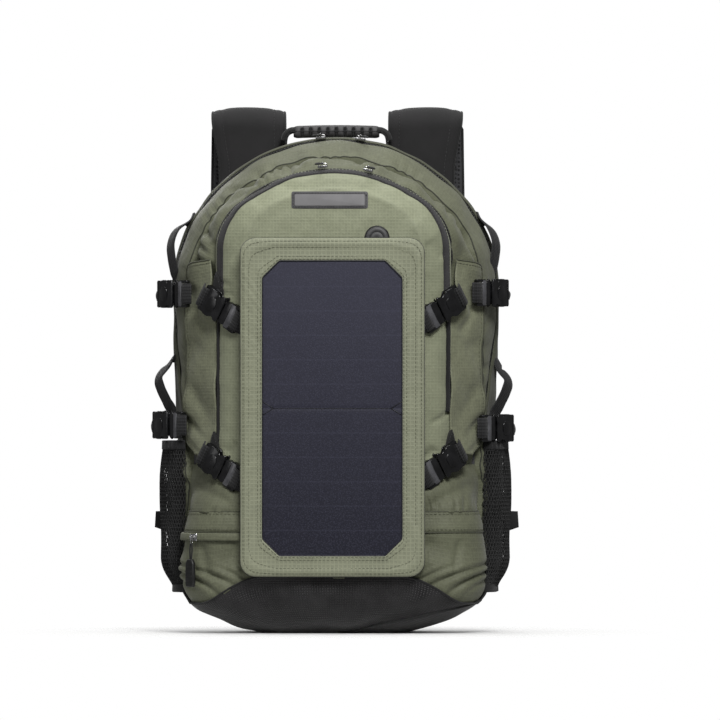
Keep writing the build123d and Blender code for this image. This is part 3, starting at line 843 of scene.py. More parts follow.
def main_shells():
    rear = strip_of(rear_surface, lambda t: main_zip_y(t) + 4.2, lambda t: BACK_Y + 1.5 + 0 * t, 18, 320)
    # The rear gusset gets the darkest copy of the green: painted shade on the bag's sides.
    finish_piece(cloth("rear_gusset_cloth", rear), SHADED_SIDE_GREEN, replaces=["main_gusset"])
    ahead = strip_of(front_gusset_surface, seam_y, lambda t: main_zip_y(t) - 4.2, 22, 420)
    finish_piece(cloth("front_gusset_cloth", ahead), SHADED_GUSSET_GREEN)
    middle = strip_of(mid_surface, lambda t: ZIP_Y + 3.5 + 0 * t, lambda t: seam_y(t) + 2, 26, 420, -1.0)
    finish_piece(cloth("mid_gusset_cloth", middle), SHADED_GUSSET_GREEN, replaces=["mid_gusset"])
    # A dark cord on the gathered seam: a real seam edge, coloured with painted shadow.
    t = np.linspace(-0.93, 0.93, 400)
    seam = front_gusset_surface.at(t, seam_y(t) + 2.6, -0.6)
    ups = front_gusset_surface.normal(t, seam_y(t) + 4)
    trim("gathered_seam_edge", seam, ups, round_section(0.85, 8), SEAM_SHADOW_GREEN)


EDGE_SHARE = 0.78


def face_base(t, r):
    """The front compartment: r is 1 at the zip, EDGE_SHARE where the face turns flat, and 0 in the middle."""
    t, r = np.broadcast_arrays(np.asarray(t, float), np.asarray(r, float))
    turn = np.clip((r - EDGE_SHARE) / (1 - EDGE_SHARE), 0, 1)
    y = FACE_Y + (ZIP_Y - FACE_Y) * turn
    outer = bag_point(t, y, MID_FOOT)
    shrink = np.clip(r / EDGE_SHARE, 0, 1)
    middle_z = 250
    x = outer[..., 0] * shrink
    z = middle_z + (outer[..., 2] - middle_z) * shrink
    return np.stack([x, y, z], -1)


def face_relief(t, r, p):
    x, z = p[..., 0], p[..., 2]
    round_edge = 4.5 * hump(r, (1 + EDGE_SHARE) / 2, 0.09)
    across = np.clip(1 - (abs(x) / 84) ** 3, 0, 1)
    behind_panel = 10.5 * across * ease((z - 122) / 60) * ease((312 - z) / 55)
    above_panel = 1.3 * across * ease((z - 372) / 30) * ease((440 - z) / 30)
    by_grommet = np.hypot(x - 44, z - 393) / 14
    by_patch = np.maximum(abs(x + 3) / 40, abs(z - 431) / 11)
    flat = 1 - ease(1.6 - np.minimum(by_grommet, by_patch))
    wrinkles = 0.7 * ripple(x, z, 70, 51) + 0.35 * ripple(x, z, 26, 52)
    tucks = creases(x, z, (
        ((92, 390), (108, 372), 2.0, 6),
        ((-97, 345), (-118, 352), 1.6, 3),
        ((-96, 338), (-112, 340), 1.4, 3),
        ((94, 208), (118, 222), 2.2, 2.0),
        ((100, 185), (90, 172), 3.0, 5),
        ((-92, 190), (-104, 178), 3.0, 5),
        ((-95, 322), (-104, 300), 2.4, 6),
        ((-99, 166), (-84, 148), 2.0, 9),
        ((-60, 448), (-78, 424), 1.4, 8),
        ((70, 440), (84, 408), 1.5, 8),
    ))
    return behind_panel + (round_edge + above_panel + wrinkles) * flat - tucks


face_surface = Surface(face_base, face_relief)
BAND_OUTER = 0.985
BAND_INNER = 0.925
FRONT_ZIP_LEFT_END = 338
FRONT_ZIP_RIGHT_END = 332


def front_zip_y(t):
    return ZIP_Y + 0.9 + 0 * t


def front_zip_range(count):
    """Places round the front zip, which ends at the upper front buckles."""
    left = t_at_height(FRONT_ZIP_LEFT_END, ZIP_Y, MID_FOOT)
    right = t_at_height(FRONT_ZIP_RIGHT_END, ZIP_Y, MID_FOOT)
    return np.linspace(-left, right, count)


def front_compartment():
    t = np.linspace(-1, 1, 300)[:, None]
    r = np.concatenate([np.linspace(0.02, 0.75, 46), np.linspace(0.765, 1.0, 22)])[None, :]
    points = face_surface.at(t, r)
    uv = points[..., [0, 2]] * MM
    obj = cloth("front_compartment_cloth", points, uv)
    finish_piece(obj, GREEN, replaces=["front_compartment"])

    t = front_zip_range(360)
    share = np.linspace(BAND_INNER, BAND_OUTER, 7)
    lift = 0.9 - 0.5 * abs(np.linspace(-1, 1, 7)) ** 3
    band = face_surface.at(t[:, None], share[None, :], lift[None, :])
    finish_piece(cloth("front_zip_binding", band, thickness=1.0), BINDING)
    parts = []
    for place in (BAND_INNER + 0.008, BAND_OUTER - 0.008):
        line = face_surface.at(t, place, 0.95)
        parts += stitch_parts(line, face_surface.normal(t, place), TAPE_STITCH)
    finish_piece(merged("front_binding_stitches", parts), BLACK_THREAD)
    for name, side, top, foot, section in (
        ("left", -1, FRONT_ZIP_LEFT_END, 192, round_section(1.7)),
        ("right", 1, FRONT_ZIP_RIGHT_END, 222, flat_section(5.5, 1.4)),
    ):
        t = side * np.linspace(t_at_height(top, ZIP_Y, MID_FOOT), t_at_height(foot, ZIP_Y, MID_FOOT), 90)
        line = face_surface.at(t, 0.965, 0.6)
        trim(f"front_piping_{name}", line, face_surface.normal(t, 0.965), section, DARK_BINDING)


def zip_run(name, surface, t, depth, tape_half, coil_width, replaces):
    """A zip along a surface: a sunk tape and a coil of bent nylon turns, riding on the bag."""
    line = surface.at(t, depth(t), 0.0)
    ups = surface.normal(t, depth(t))
    trim(
        name + "_tape", line - ups * 0.4, ups, flat_section(tape_half * 2, 0.8),
        ZIP_TAPE, replaces=replaces
    )
    places = evenly(line, 1.5)
    lifted = spread_over(ups, len(places))
    tangents = directions(places)
    across = np.cross(tangents, lifted)
    parts = []
    for k, (place, up, side, along) in enumerate(zip(places, lifted, across, tangents)):
        lean = 0.35 if k % 2 else -0.35
        half = coil_width / 2
        stops = ((-half, 0.1), (-half * 0.7, 1.1), (0, 1.3), (half * 0.7, 1.1), (half, 0.1))
        run = np.array([place + side * x + up * (0.3 + h) + along * lean * x / half for x, h in stops])
        parts.append(sweep_mesh(run, up, round_section(0.55, 5)))
    finish_piece(merged(name + "_coil", parts), ZIP_COIL)


def zips():
    t = np.linspace(-0.9, 0.9, 420)
    zip_run("main_zip", rear_surface, t, main_zip_y, 5.4, 4.4, ["main_zip_tape"])
    zip_run("front_zip", mid_surface, front_zip_range(320), front_zip_y, 3.6, 3.6, ["front_zip_tape"])


# ---------------------------------------------------------------- floor bowl, lower pocket, wings


def base_edge(places):
    """The height of the black base's top edge: an arch in front, low corners, and level sides and back."""
    x, y = places[..., 0], places[..., 1]
    arch = 31 + 26 * ease((140 - abs(x)) / 72) + 11 * ease((y + 52) / 34)
    return np.where(y < 0, arch, BASE_TOP)


LOWER_END = SEAM_Y + 5


def lower_base(a, z):
    return level_point(a, z, LOWER_END)


def lower_start(a):
    return base_edge(level_point(a, BASE_TOP, LOWER_END)) - 2


def lower_relief(a, z, p):
    x = p[..., 0]
    room = np.clip((z - lower_start(a)) / 20, 0, 1) * np.clip((BAND_BOTTOM - z) / 14, 0, 1)
    slant = z - 0.75 * abs(x)
    gathers = 5.2 * folds(slant * 0.75, z, 14, 61) * ease((abs(x) - 62) / 30) * ease((96 - z) / 26)
    waves = 1.6 * ripple(x, z * 1.2, 40, 62)
    tucks = crease(x, z, (98, 98), (84, 62), 2.6, 6) + crease(x, z, (-88, 92), (-112, 64), 2.2, 7)
    corner = crease(x, z, (128, 96), (121, 62), 2.4, 4) + crease(x, z, (-132, 92), (-124, 56), 2.4, 5)
    return (waves - gathers - tucks - corner) * (0.35 + 0.65 * room)


lower_surface = Surface(lower_base, lower_relief)
plain_pocket_surface = Surface(lower_base)
POCKET_ZIP_Z = 96


def band_relief(a, z, p):
    middle = np.clip((z - BAND_BOTTOM) / (POCKET_TOP - BAND_BOTTOM), 0, 1)
    tuck = 0.8 * folds(p[..., 0] * 0.9, z, 9, 71) * hump(z, POCKET_TOP, 5)
    return 1.0 + 1.6 * 4 * middle * (1 - middle) * 0.5 + 0.7 * ripple(p[..., 0], z * 2, 60, 72) - tuck


band_surface = Surface(lower_base, band_relief)


YOKE_TOP = 168


def yoke_base(a, z):
    """The cloth above the band: it starts on the band and runs in under the front and middle parts."""
    below = level_point(a, np.full(np.shape(z), POCKET_TOP), LOWER_END)
    face = 88.0
    chamfer_x, chamfer_y = side_x(ZIP_Y, z) - face, ZIP_Y - FACE_Y
    side_run_x, side_run_y = side_x(SEAM_Y, z) - side_x(ZIP_Y, z), LOWER_END - ZIP_Y
    first = face
    second = first + np.hypot(chamfer_x, chamfer_y)
    total = second + np.hypot(side_run_x, side_run_y)
    d = abs(a) * total
    one = np.clip((d - first) / (second - first), 0, 1)
    two = np.clip((d - second) / (total - second), 0, 1)
    x = np.minimum(d, first) + chamfer_x * one + side_run_x * two
    y = FACE_Y + chamfer_y * one + side_run_y * two
    above = np.stack([np.sign(a) * x, y, z], -1)
    share = ease((z - POCKET_TOP) / (YOKE_TOP - POCKET_TOP))[..., None]
    below = below + np.stack([0 * z, 0 * z, z - POCKET_TOP], -1)
    return below + (above - below) * share


def yoke_relief(a, z, p):
    low = np.clip((z - POCKET_TOP) / 12, 0, 1)
    gathers = 3.0 * folds(p[..., 0] * 1.1, z, 13, 81) * hump(z, POCKET_TOP + 5, 11)
    tucks = creases(p[..., 0], z, (
        ((140, 150), (96, 128), 3.0, 5),
        ((-140, 148), (-100, 130), 3.0, 5),
        ((102, 162), (84, 144), 3.4, 10),
        ((-102, 162), (-84, 144), 3.0, 10),
    ))
    return 1.2 * low + 1.4 * ripple(p[..., 0], z, 40, 82) - gathers - tucks - 3.0 * ease((z - 150) / 18)


yoke_surface = Surface(yoke_base, yoke_relief)


def lower_shells():
    a = np.linspace(-1, 1, 340)[:, None]
    share = np.linspace(0, 1, 36)[None, :]
    start = lower_start(a)
    skin = lower_surface.at(a, start + (BAND_BOTTOM + 2 - start) * share)
    finish_piece(cloth("lower_pocket_cloth", skin), SHADED_LOW_GREEN, replaces=["lower_pocket"])

    band = band_surface.at(a, np.linspace(BAND_BOTTOM, POCKET_TOP, 12)[None, :])
    finish_piece(cloth("pocket_band", band), SHADED_LOW_GREEN, replaces=["lower_band"])
    line = np.linspace(-0.98, 0.98, 300)
    parts = []
    for z in (BAND_BOTTOM + 2.2, POCKET_TOP - 2.2):
        parts += stitch_parts(band_surface.at(line, z, 0.1), band_surface.normal(line, z), SEAM_STITCH)
    finish_piece(merged("band_stitches", parts), THREAD)
    # The cords at the band's edges are dark: painted shade under the band.
    for name, z in (("band_lower_seam", BAND_BOTTOM - 0.3), ("band_upper_seam", POCKET_TOP + 0.3)):
        edge = band_surface.at(line, z, -0.6)
        trim(name, edge, band_surface.normal(line, z), round_section(0.9), SHADED_SIDE_GREEN)

    a_zip = np.linspace(-0.99, -0.42, 140)
    out = plain_pocket_surface.normal(a_zip, POCKET_ZIP_Z)
    trim(
        "pocket_zip_lip", plain_pocket_surface.at(a_zip, POCKET_ZIP_Z, 1.3), out, flat_section(7.8, 3.0),
        SHADED_LOW_GREEN, replaces=["pocket_zip_tape"]
    )
    trim(
        "pocket_zip_slit", plain_pocket_surface.at(a_zip, POCKET_ZIP_Z, 2.65), out, flat_section(1.0, 0.5),
        ZIP_COIL
    )

    yoke = yoke_surface.at(a, np.linspace(POCKET_TOP - 1, YOKE_TOP, 30)[None, :])
    finish_piece(cloth("pocket_yoke", yoke), SHADED_LOW_GREEN)

    a = np.linspace(-1, 1, 361)[:, None]
    rows = np.concatenate([np.linspace(0, 0.25, 14), np.linspace(0.3, 1, 34)])[None, :]
    z = rows * base_top(a)
    bowl = base_surface.at(a, z)
    finish_piece(cloth("base_cloth_bowl", bowl), BASE_CLOTH_PAINTED_SHEEN, replaces=["base_panel"])
    rim = base_surface.at(np.linspace(-1, 1, 361), 0.0)
    shrink = np.linspace(0.02, 1, 16)[None, :, None]
    middle = np.array([0, -3.5, 0.0])
    sole = middle + (rim[:, None] - middle) * shrink
    sole[..., 2] = 0.25 * (1 - shrink[..., 0]) + rim[:, None, 2]
    finish_piece(cloth("base_sole", sole), BASE_CLOTH_PAINTED_SHEEN)
    a = np.linspace(-1, 1, 361)
    top = base_surface.at(a, base_top(a), 0.0)
    trim(
        "base_piping", top, base_surface.normal(a, base_top(a)), round_section(1.1),
        DARK_BINDING
    )
    # A dark cord along the fold of the base: the fold is real, and the cord's dark colour is painted shadow
    # in it.
    x = np.linspace(0.02, 0.47, 120)
    fold_z = 2 + 32 * ease(x / 0.45) ** 1.2
    fold = base_surface.at(x, fold_z, 0.1)
    trim(
        "base_fold_seam", fold, base_surface.normal(x, fold_z), round_section(1.3),
        DARK_BINDING
    )


def base_top(a):
    return base_edge(level_point(a, BASE_TOP))


def base_relief(a, z, p):
    x = p[..., 0]
    fold = crease(x, z, (10, 3), (128, 38), 1.6, 5) + crease(x, z, (-30, 50), (-10, 18), 1.2, 9)
    return 1.3 + 1.7 * ripple(x, z * 1.4, 48, 91) * np.clip(z / 10, 0, 1) - fold


base_surface = Surface(lambda a, z: level_point(a, z), base_relief)


def wing_relief(y, z, p):
    gather = 2.4 * folds(z * 0.8, y, 21, 101) * ease((y + 66) / 30)
    waves = 1.8 * ripple(y * 1.4, z, 44, 102)
    pulled = 3.4 * (hump(z, 339, 9) + hump(z, 205, 9)) * ease((y + 52) / 20)
    slack = crease(y, z, (-38, 326), (-58, 296), 2.6, 5) + crease(y, z, (-60, 340), (-40, 318), 1.8, 4)
    tuck_in = 7.0 * ease((y - wing_edge(z) + 2.0) / 2.0)
    return 3.6 + waves - gather - pulled - slack - tuck_in


def wing_base(side):
    return lambda y, z: np.stack([side * side_x(y, z), y + 0 * z, z + 0 * y], -1)


WING_TOP = 372
WING_FOOT = 178


def wing_edge(z):
    """How far back a wing reaches at each height, in depth: wide at the side buckles."""
    waist = 7.0 * np.sin(np.clip((z - 215) / 130, 0, 1) * pi)
    tip = 20 * ease((196 - z) / 22)
    return -23.0 - waist * 0.55 - tip


def wings():
    """The green side panels that the compression straps pull on, sewn over the middle part."""
    for name, side in SIDES:
        surface = Surface(wing_base(side), lambda y, z, p, sign=side: sign * wing_relief(y, z, p))
        z = np.linspace(WING_FOOT, WING_TOP, 120)[:, None]
        share = np.concatenate([np.linspace(0, 0.93, 26), [0.95, 0.965, 0.98, 1]])[None, :]
        front = ZIP_Y - 2.0 + 5.2 * ease((z - 322) / 12) + 3 * ease((z - 350) / 22)
        top = 7 * share * ease((z - 300) / 70)
        y = front + (wing_edge(z) - front) * share
        points = surface.at(y, z - top)
        finish_piece(cloth(f"wing_{name}", points[::-side]), SHADED_WING_GREEN)
        # The cords along the wing's back and top edges are dark: painted shade in the gap at the wing's edge.
        edge = points[:, -4]
        out = np.broadcast_to(np.array([side * 1.0, 0.25, 0]), edge.shape)
        trim(f"wing_{name}_edge", edge, out, round_section(0.9), SHADED_SIDE_GREEN)
        row = points[:, -7] + out * 0.2
        crown = points[-3, :] + np.array([side * 0.6, 0, 0.1])
        parts = stitch_parts(row, out, SEAM_STITCH)
        parts += stitch_parts(crown, np.array([side, -0.2, 0.3]), SEAM_STITCH)
        finish_piece(merged(f"wing_{name}_stitches", parts), THREAD)
        upper = points[-1]
        trim(
            f"wing_{name}_top_edge", upper, np.array([side * 1.0, 0, 0.3]), round_section(0.8),
            SHADED_SIDE_GREEN
        )


# ---------------------------------------------------------------- mesh pockets

POCKET_CENTRE = (149, 16)
POCKET_HALF_DEPTH = 43
POCKET_REACH = {42: 12, 66: 25.5, 150: 26.5, 189: 23.5}
POCKET_RIM = 189


def pocket_base(side, shrink=0.0):
    def base(f, z):
        out = soft_interp(z, list(POCKET_REACH), list(POCKET_REACH.values()), 8) - shrink
        angle = f * pi / 2
        x = POCKET_CENTRE[0] + out * np.cos(angle)
        y = POCKET_CENTRE[1] + (POCKET_HALF_DEPTH - shrink) * np.sin(angle)
        return np.stack([side * x, y + 0 * z, z + 0 * f], -1)

    return base


def pocket_relief(f, z, p):
    return 1.0 * ripple(f * 60, z, 48, 111) - 1.2 * folds(f * 60, z, 17, 112) * ease((z - 150) / 40)


def net(name, surface, rows, columns, low, high):
    """A knitted net: six-sided holes between strands, on a surface over f and z."""
    mesh = bmesh.new()
    step_f, step_z = 2.0 / columns, (high - low) / rows
    known = {}

    def corner(f, z):
        key = (round(f, 5), round(z, 3))
        if key not in known:
            known[key] = mesh.verts.new(Vector(surface.at(np.clip(f, -1, 1), z)) * MM)
        return known[key]

    for row in range(rows):
        for column in range(columns):
            f = -1 + (column + 0.5 + 0.5 * (row % 2)) * step_f
            z = low + (row + 0.5) * step_z
            if f + step_f / 2 > 1.001:
                continue
            half, tall, flat = step_f / 2, step_z * 2 / 3, step_z / 3
            ring = ((0, -tall), (half, -flat), (half, flat), (0, tall), (-half, flat), (-half, -flat))
            mesh.faces.new([corner(f + df, z + dz) for df, dz in ring])
    bmesh.ops.remove_doubles(mesh, verts=mesh.verts, dist=0.0004)
    data = bpy.data.meshes.new(name)
    mesh.to_mesh(data)
    mesh.free()
    yarn = 1.55 * MM
    return modify(
        linked(name, data), "WIREFRAME", thickness=yarn, use_even_offset=False, use_boundary=True
    )


def mesh_pockets():
    for name, side in SIDES:
        surface = Surface(
            pocket_base(side), lambda f, z, p, sign=side: sign * (pocket_relief(f, z, p) - 0.6)
        )
        f = np.linspace(-1, 1, 50)[:, None]
        # A dark layer 7 mm inside the net: painted shade of the pocket's inside, which keeps the backdrop
        # from showing through.
        pocket_shade_sheet = Surface(pocket_base(side, 7)).at(f, np.linspace(44, POCKET_RIM - 5, 40)[None, :])
        finish_piece(cloth(f"mesh_pocket_{name}_inner_layer", pocket_shade_sheet[::side]), POCKET_SHADE_NET)
        finish_piece(net(f"mesh_pocket_{name}_net", surface, 38, 28, 43, POCKET_RIM), NET,
                     replaces=[f"mesh_pocket_{name}"])
        f = np.linspace(-1, 1, 90)
        top = surface.at(f, POCKET_RIM - 2.0, -0.3)
        outward = surface.normal(f, POCKET_RIM - 2.0) * side
        trim(f"mesh_pocket_{name}_hem", top, outward, flat_section(9, 1.6), BLACK_CLOTH)
        foot = surface.at(f, 44.0, -0.3)
        trim(f"mesh_pocket_{name}_foot", foot, outward, flat_section(8, 1.6), DARK_BINDING)
        y = np.linspace(LOWER_END - 1, POCKET_CENTRE[1] + POCKET_HALF_DEPTH - 1, 30)[:, None]
        z = np.linspace(40, POCKET_RIM + 3, 30)[None, :]
        backing = np.stack([side * (side_x(y, z) + 2.6), y + 0 * z, z + 0 * y], -1)
        finish_piece(cloth(f"mesh_pocket_{name}_backing", backing[::side]), BLACK_CLOTH)


# ---------------------------------------------------------------- solar panel and front details

panel_low, panel_high = (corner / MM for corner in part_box("panel_frame"))
WINDOW_SIZE = Vector((139, 0, 293))
window_middle = sum(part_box("laminate_film"), Vector()) / 2 / MM
window_low, window_high = window_middle - WINDOW_SIZE / 2, window_middle + WINDOW_SIZE / 2
PANEL_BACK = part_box("panel_back")[1].y / MM
PANEL_FRONT = panel_low.y
PANEL_CORNER = 15
WINDOW_CHAMFER = 17


def rounded_loop(low, high, radius, inset, count=60):
    """Points round a standing rectangle, from low to high corner, with rounded corners."""
    width, height = high.x - low.x - 2 * inset, high.z - low.z - 2 * inset
    middle = ((low.x + high.x) / 2, (low.z + high.z) / 2)
    outline = rounded_outline(width, height, max(radius - inset, 2), middle, 8)
    points = np.array([(x, 0, z) for x, z in outline])
    return evenly(points, 2 * (width + height) / count / 4, closed=True)


def chamfered_loop(low, high, chamfer, grow):
    """Points round the window: a rectangle with cut corners."""
    w, h = (high.x - low.x) / 2 + grow, (high.z - low.z) / 2 + grow
    x, z = (low.x + high.x) / 2, (low.z + high.z) / 2
    c = chamfer + grow * 0.6
    corners = [
        (w, h - c), (w - c, h), (c - w, h), (-w, h - c), (-w, c - h), (c - w, -h), (w - c, -h), (w, c - h)
    ]
    return np.array([(x + px, 0, z + pz) for px, pz in corners])


def resampled_like(loop, reference):
    """The loop's points in the directions of the reference's points from the middle."""
    middle = loop.mean(0)
    dense = evenly(np.vstack([loop, loop[:1]]), 0.5)
    scale = np.array([1.0, 1.0, 0.47])
    angle = np.arctan2(*((dense - middle) * scale)[:, [2, 0]].T)
    wanted = np.arctan2(*((reference - middle) * scale)[:, [2, 0]].T)
    order = np.argsort(angle)
    x = np.interp(wanted, angle[order], dense[order, 0], period=2 * pi)
    z = np.interp(wanted, angle[order], dense[order, 2], period=2 * pi)
    return np.stack([x, 0 * x, z], 1)


def panel_sleeve():
    """The sewn fabric frame: a soft outer edge, a raised welt, flat borders and a lip at the window."""
    window = chamfered_loop(window_low, window_high, WINDOW_CHAMFER, 0.0)
    outer = rounded_loop(panel_low, panel_high, PANEL_CORNER, 0.0, 110)
    inner = resampled_like(window, outer)
    thick = PANEL_BACK - PANEL_FRONT
    rings = []
    profile = [
        (0.030, PANEL_BACK - 0.2),
        (0.0, PANEL_BACK - 0.25 * thick),
        (0.0, PANEL_BACK - 0.62 * thick),
        (0.035, PANEL_FRONT + 1.5),
        (0.09, PANEL_FRONT + 0.75),
        (0.16, PANEL_FRONT + 0.5),
        (0.20, PANEL_FRONT + 0.1),
        (0.26, PANEL_FRONT - 0.3),
        (0.33, PANEL_FRONT - 0.1),
        (0.38, PANEL_FRONT + 0.35),
        (0.55, PANEL_FRONT + 0.55),
        (0.74, PANEL_FRONT + 0.45),
        (0.84, PANEL_FRONT + 0.05),
        (0.93, PANEL_FRONT - 0.2),
        (0.985, PANEL_FRONT + 0.1),
        (1.0, PANEL_FRONT + 1.2),
        (1.0, PANEL_FRONT + 2.6),
    ]
    x, z = outer[:, 0], outer[:, 2]
    for share, y in profile:
        ring = outer + (inner - outer) * share
        soft = 0.35 * ripple(x, z, 60, 121) * hump(share, 0.5, 0.35) + 0.18 * ripple(x, z, 14, 122)
        ring[:, 1] = y + soft * (share < 0.98)
        rings.append(ring)
    points = np.array(rings)
    rows, columns = points.shape[:2]
    faces = grid_faces(rows, columns, False, True)[:, ::-1]
    obj = new_object("panel_sleeve", points, faces, points[..., [0, 2]] * MM)
    modify(obj, "SUBSURF", levels=1, render_levels=1)
    finish_piece(obj, PANEL_GREEN, replaces=["panel_frame"])

    def row(share, y):
        loop = outer + (inner - outer) * share
        loop[:, 1] = y
        return np.vstack([loop, loop[:1]])

    parts = []
    for share, y in (
        (0.135, PANEL_FRONT + 0.35), (0.40, PANEL_FRONT + 0.2), (0.80, PANEL_FRONT + 0.05),
        (0.93, PANEL_FRONT - 0.35)
    ):
        parts += stitch_parts(evenly(row(share, y), 1.5), (0, -1, 0), PANEL_STITCH, -0.05)
    finish_piece(merged("panel_stitches", parts), THREAD)

    loop = evenly(np.vstack([window, window[:1]]), 2.0)[:-1]
    loop[:, 1] = PANEL_FRONT + 1.0
    trim("window_edge", loop, (0, -1, 0), round_section(0.75), CELL_EDGE, closed=True)


def panel_back_cloth():
    loop = rounded_loop(panel_low, panel_high, PANEL_CORNER, 0.6, 110)
    middle = loop.mean(0)
    shares = np.linspace(0.03, 1, 24)
    points = np.array([middle + (loop - middle) * share for share in shares])
    points[..., 1] = PANEL_BACK - 0.2 + 0.25 * ripple(points[..., 0], points[..., 2], 50, 123)
    faces = grid_faces(len(shares), len(loop), False, True)
    obj = new_object("panel_back_cloth", points, faces[:, ::-1], points[..., [0, 2]] * MM)
    modify(obj, "SOLIDIFY", thickness=0.8 * MM, offset=-1)
    finish_piece(obj, BLACK_CLOTH, replaces=["panel_back"])
    loop[:, 1] = PANEL_BACK - 0.6
    trim("panel_back_binding", loop, (0, 1, 0), round_section(1.0), DARK_BINDING, closed=True)


def laminate():
    """The dark film over the cells, in two halves with a shallow joint and its end notches."""
    low, high = window_low, window_high
    middle_z = (low.z + high.z) / 2
    half_width = (high.x - low.x) / 2
    y = PANEL_FRONT + 1.6
    columns = np.linspace(-1, 1, 61)
    rows = np.concatenate([np.linspace(low.z, middle_z - 3, 70), [middle_z - 1.2, middle_z, middle_z + 1.2],
                           np.linspace(middle_z + 3, high.z, 70)])
    points = np.empty((len(columns), len(rows), 3))
    for j, z in enumerate(rows):
        near = min(z - low.z, high.z - z)
        reach = half_width - max(0.0, WINDOW_CHAMFER - near)
        joint = 0.35 * hump(z, middle_z, 1.3)
        points[:, j, 0] = columns * reach
        points[:, j, 1] = y + joint + 0.12 * ripple(columns * reach, z, 80, 131)
        points[:, j, 2] = z
    obj = new_object("solar_film", points, grid_faces(len(columns), len(rows)), points[..., [0, 2]] * MM)
    finish_piece(obj, LAMINATE, replaces=["laminate_film"])
    parts = []
    for side in (-1, 1):
        tip, wide = side * (half_width - 11), side * (half_width - 0.8)
        for up in (-1, 1):
            line = np.array([(tip, y - 0.25, middle_z), (wide, y - 0.25, middle_z + up * 6.5)])
            parts.append(sweep_mesh(evenly(line, 2), (0, -1, 0), flat_section(0.8, 0.3)))
    seam = np.array([(-half_width + 11, y - 0.1, middle_z), (half_width - 11, y - 0.1, middle_z)])
    parts.append(sweep_mesh(evenly(seam, 4), (0, -1, 0), flat_section(0.5, 0.25)))
    finish_piece(merged("cell_joint", parts), CELL_EDGE)


def label_patch():
    """A blank patch with a raised border and a row of stitches."""
    low, high, middle = box_of("label_patch")
    width, height = high.x - low.x, high.z - low.z
    turned = upright(0, low.y)

    def plate(name, w, h, radius, depth, thickness, material):
        outline = rounded_outline(w, h, radius, middle, 5)
        obj = hard_piece(name, outline, -depth - thickness, -depth, 0.35, 2, turned)
        return finish_piece(obj, material)

    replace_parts(plate("label_base", width, height, 2.2, 0.7, 1.6, PATCH_RIM), "label_patch")
    plate("label_field", width - 6.5, height - 5.5, 1.2, -0.1, 0.9, PATCH)
    loop = rounded_loop(low, high, 2.2, 1.6, 60)
    loop[:, 1] = low.y - 0.05
    loop = np.vstack([loop, loop[:1]])
    finish_piece(
        merged("label_stitches", stitch_parts(loop, (0, -1, 0), LABEL_STITCH, 0.0)), BLACK_THREAD
    )


def grommet():
    """The rubber cable exit: a domed ring round a slit membrane."""
    low, _, (x, z) = box_of("cable_grommet")
    rim = ((11.6, 3.0), (11.4, 1.6), (10.4, 0.6), (8.8, 0.1), (7.2, 0.5), (6.4, 1.5))
    membrane = ((6.0, 1.7), (5.4, 1.2), (4.2, 0.9), (2.4, 1.2), (0.6, 1.8))
    profile = [(radius, low.y + depth) for radius, depth in rim + membrane]
    angles = np.linspace(0, 2 * pi, 64, endpoint=False)
    points = np.array([[(x + r * cos(a), y, z + r * sin(a)) for a in angles] for r, y in profile])
    slit = 0.9 * hump(points[..., 2] - z, 0, 0.5) * (np.hypot(points[..., 0] - x, points[..., 2] - z) < 4.5)
    points[..., 1] += slit
    obj = new_object("grommet_ring", points, grid_faces(len(profile), 64, False, True)[:, ::-1])
    modify(obj, "SUBSURF", levels=1, render_levels=2)
    finish_piece(obj, GROMMET, replaces=["cable_grommet"])
    edge = np.array([(x + 11.9 * cos(a), low.y + 2.6, z + 11.9 * sin(a)) for a in angles])
    trim("grommet_seat", edge, (0, -1, 0), round_section(0.7), BLACK_RUBBER, closed=True)


def junction_box():
    low, high, middle = box_of("junction_box")
    outline = rounded_outline(high.x - low.x, high.z - low.z, 4, middle, 5)
    turned = upright(0, high.y)
    obj = hard_piece("junction_housing", outline, 0, high.y - low.y, 1.5, 3, turned)
    finish_piece(obj, BUCKLE, replaces=["junction_box"])


# ---------------------------------------------------------------- buckles

Buckle = namedtuple("Buckle", "kind name x y z")
BUCKLES = [
    Buckle("front", "upper_left", -109, -84.6, 321),
    Buckle("front", "upper_right", 106, -84.6, 321),
    Buckle("front", "lower_left", -109, -84.6, 164),
    Buckle("front", "lower_right", 106, -84.6, 166),
    Buckle("side", "upper_left", -159, -24, 338),
    Buckle("side", "upper_right", 155, -29, 339),
    Buckle("side", "lower_left", -164, -17, 207),
    Buckle("side", "lower_right", 160, -22, 204),
]
LIES = {"front": ((0.7, 0.5, 0.51), (0.5, -0.7, 0)), "side": ((0.6, 0.8, 0), (0.8, -0.6, 0))}
BUCKLE_WIDTH = 28
SOCKET_LENGTH = 23
CLIP_END = -22.5


def buckle_place(buckle):
    """The matrix from a buckle's own frame (x to the socket, z off the bag, in mm) to the bag, in metres."""
    side = 1 if buckle.x > 0 else -1
    along, out = (Vector((side * v[0], v[1], v[2])).normalized() for v in LIES[buckle.kind])
    out = (out - along * out.dot(along)).normalized()
    across = out.cross(along)
    turn = Matrix((along, across, out)).transposed().to_4x4()
    return Matrix.Translation(Vector((buckle.x, buckle.y, buckle.z)) * MM) @ turn


def arc_points(centre, radius, start, end, steps=8):
    angles = np.radians(np.linspace(start, end, steps))
    return [(centre[0] + radius * cos(a), centre[1] + radius * sin(a)) for a in angles]


def socket_outline(half, length, notch, grow=0.0):
    """Half-round notches on both sides near the mouth, and a rounded far end."""
    half = half + grow
    right = [(0.0 - grow, half - 2.4)]
    right += [(0.6 - grow, half - 0.8), (1.8, half)]
    right += arc_points((7.6, half + 0.6), notch - grow, 187, 353, 9)
    right += [(14.5, half)] + arc_points((length - 5, half - 5), 5 + grow, 80, 5, 5)
    return right[::-1] + [(x, -y) for x, y in right]


def placed(obj, matrix):
    obj.data.transform(matrix)
    obj.data.update()
    return obj


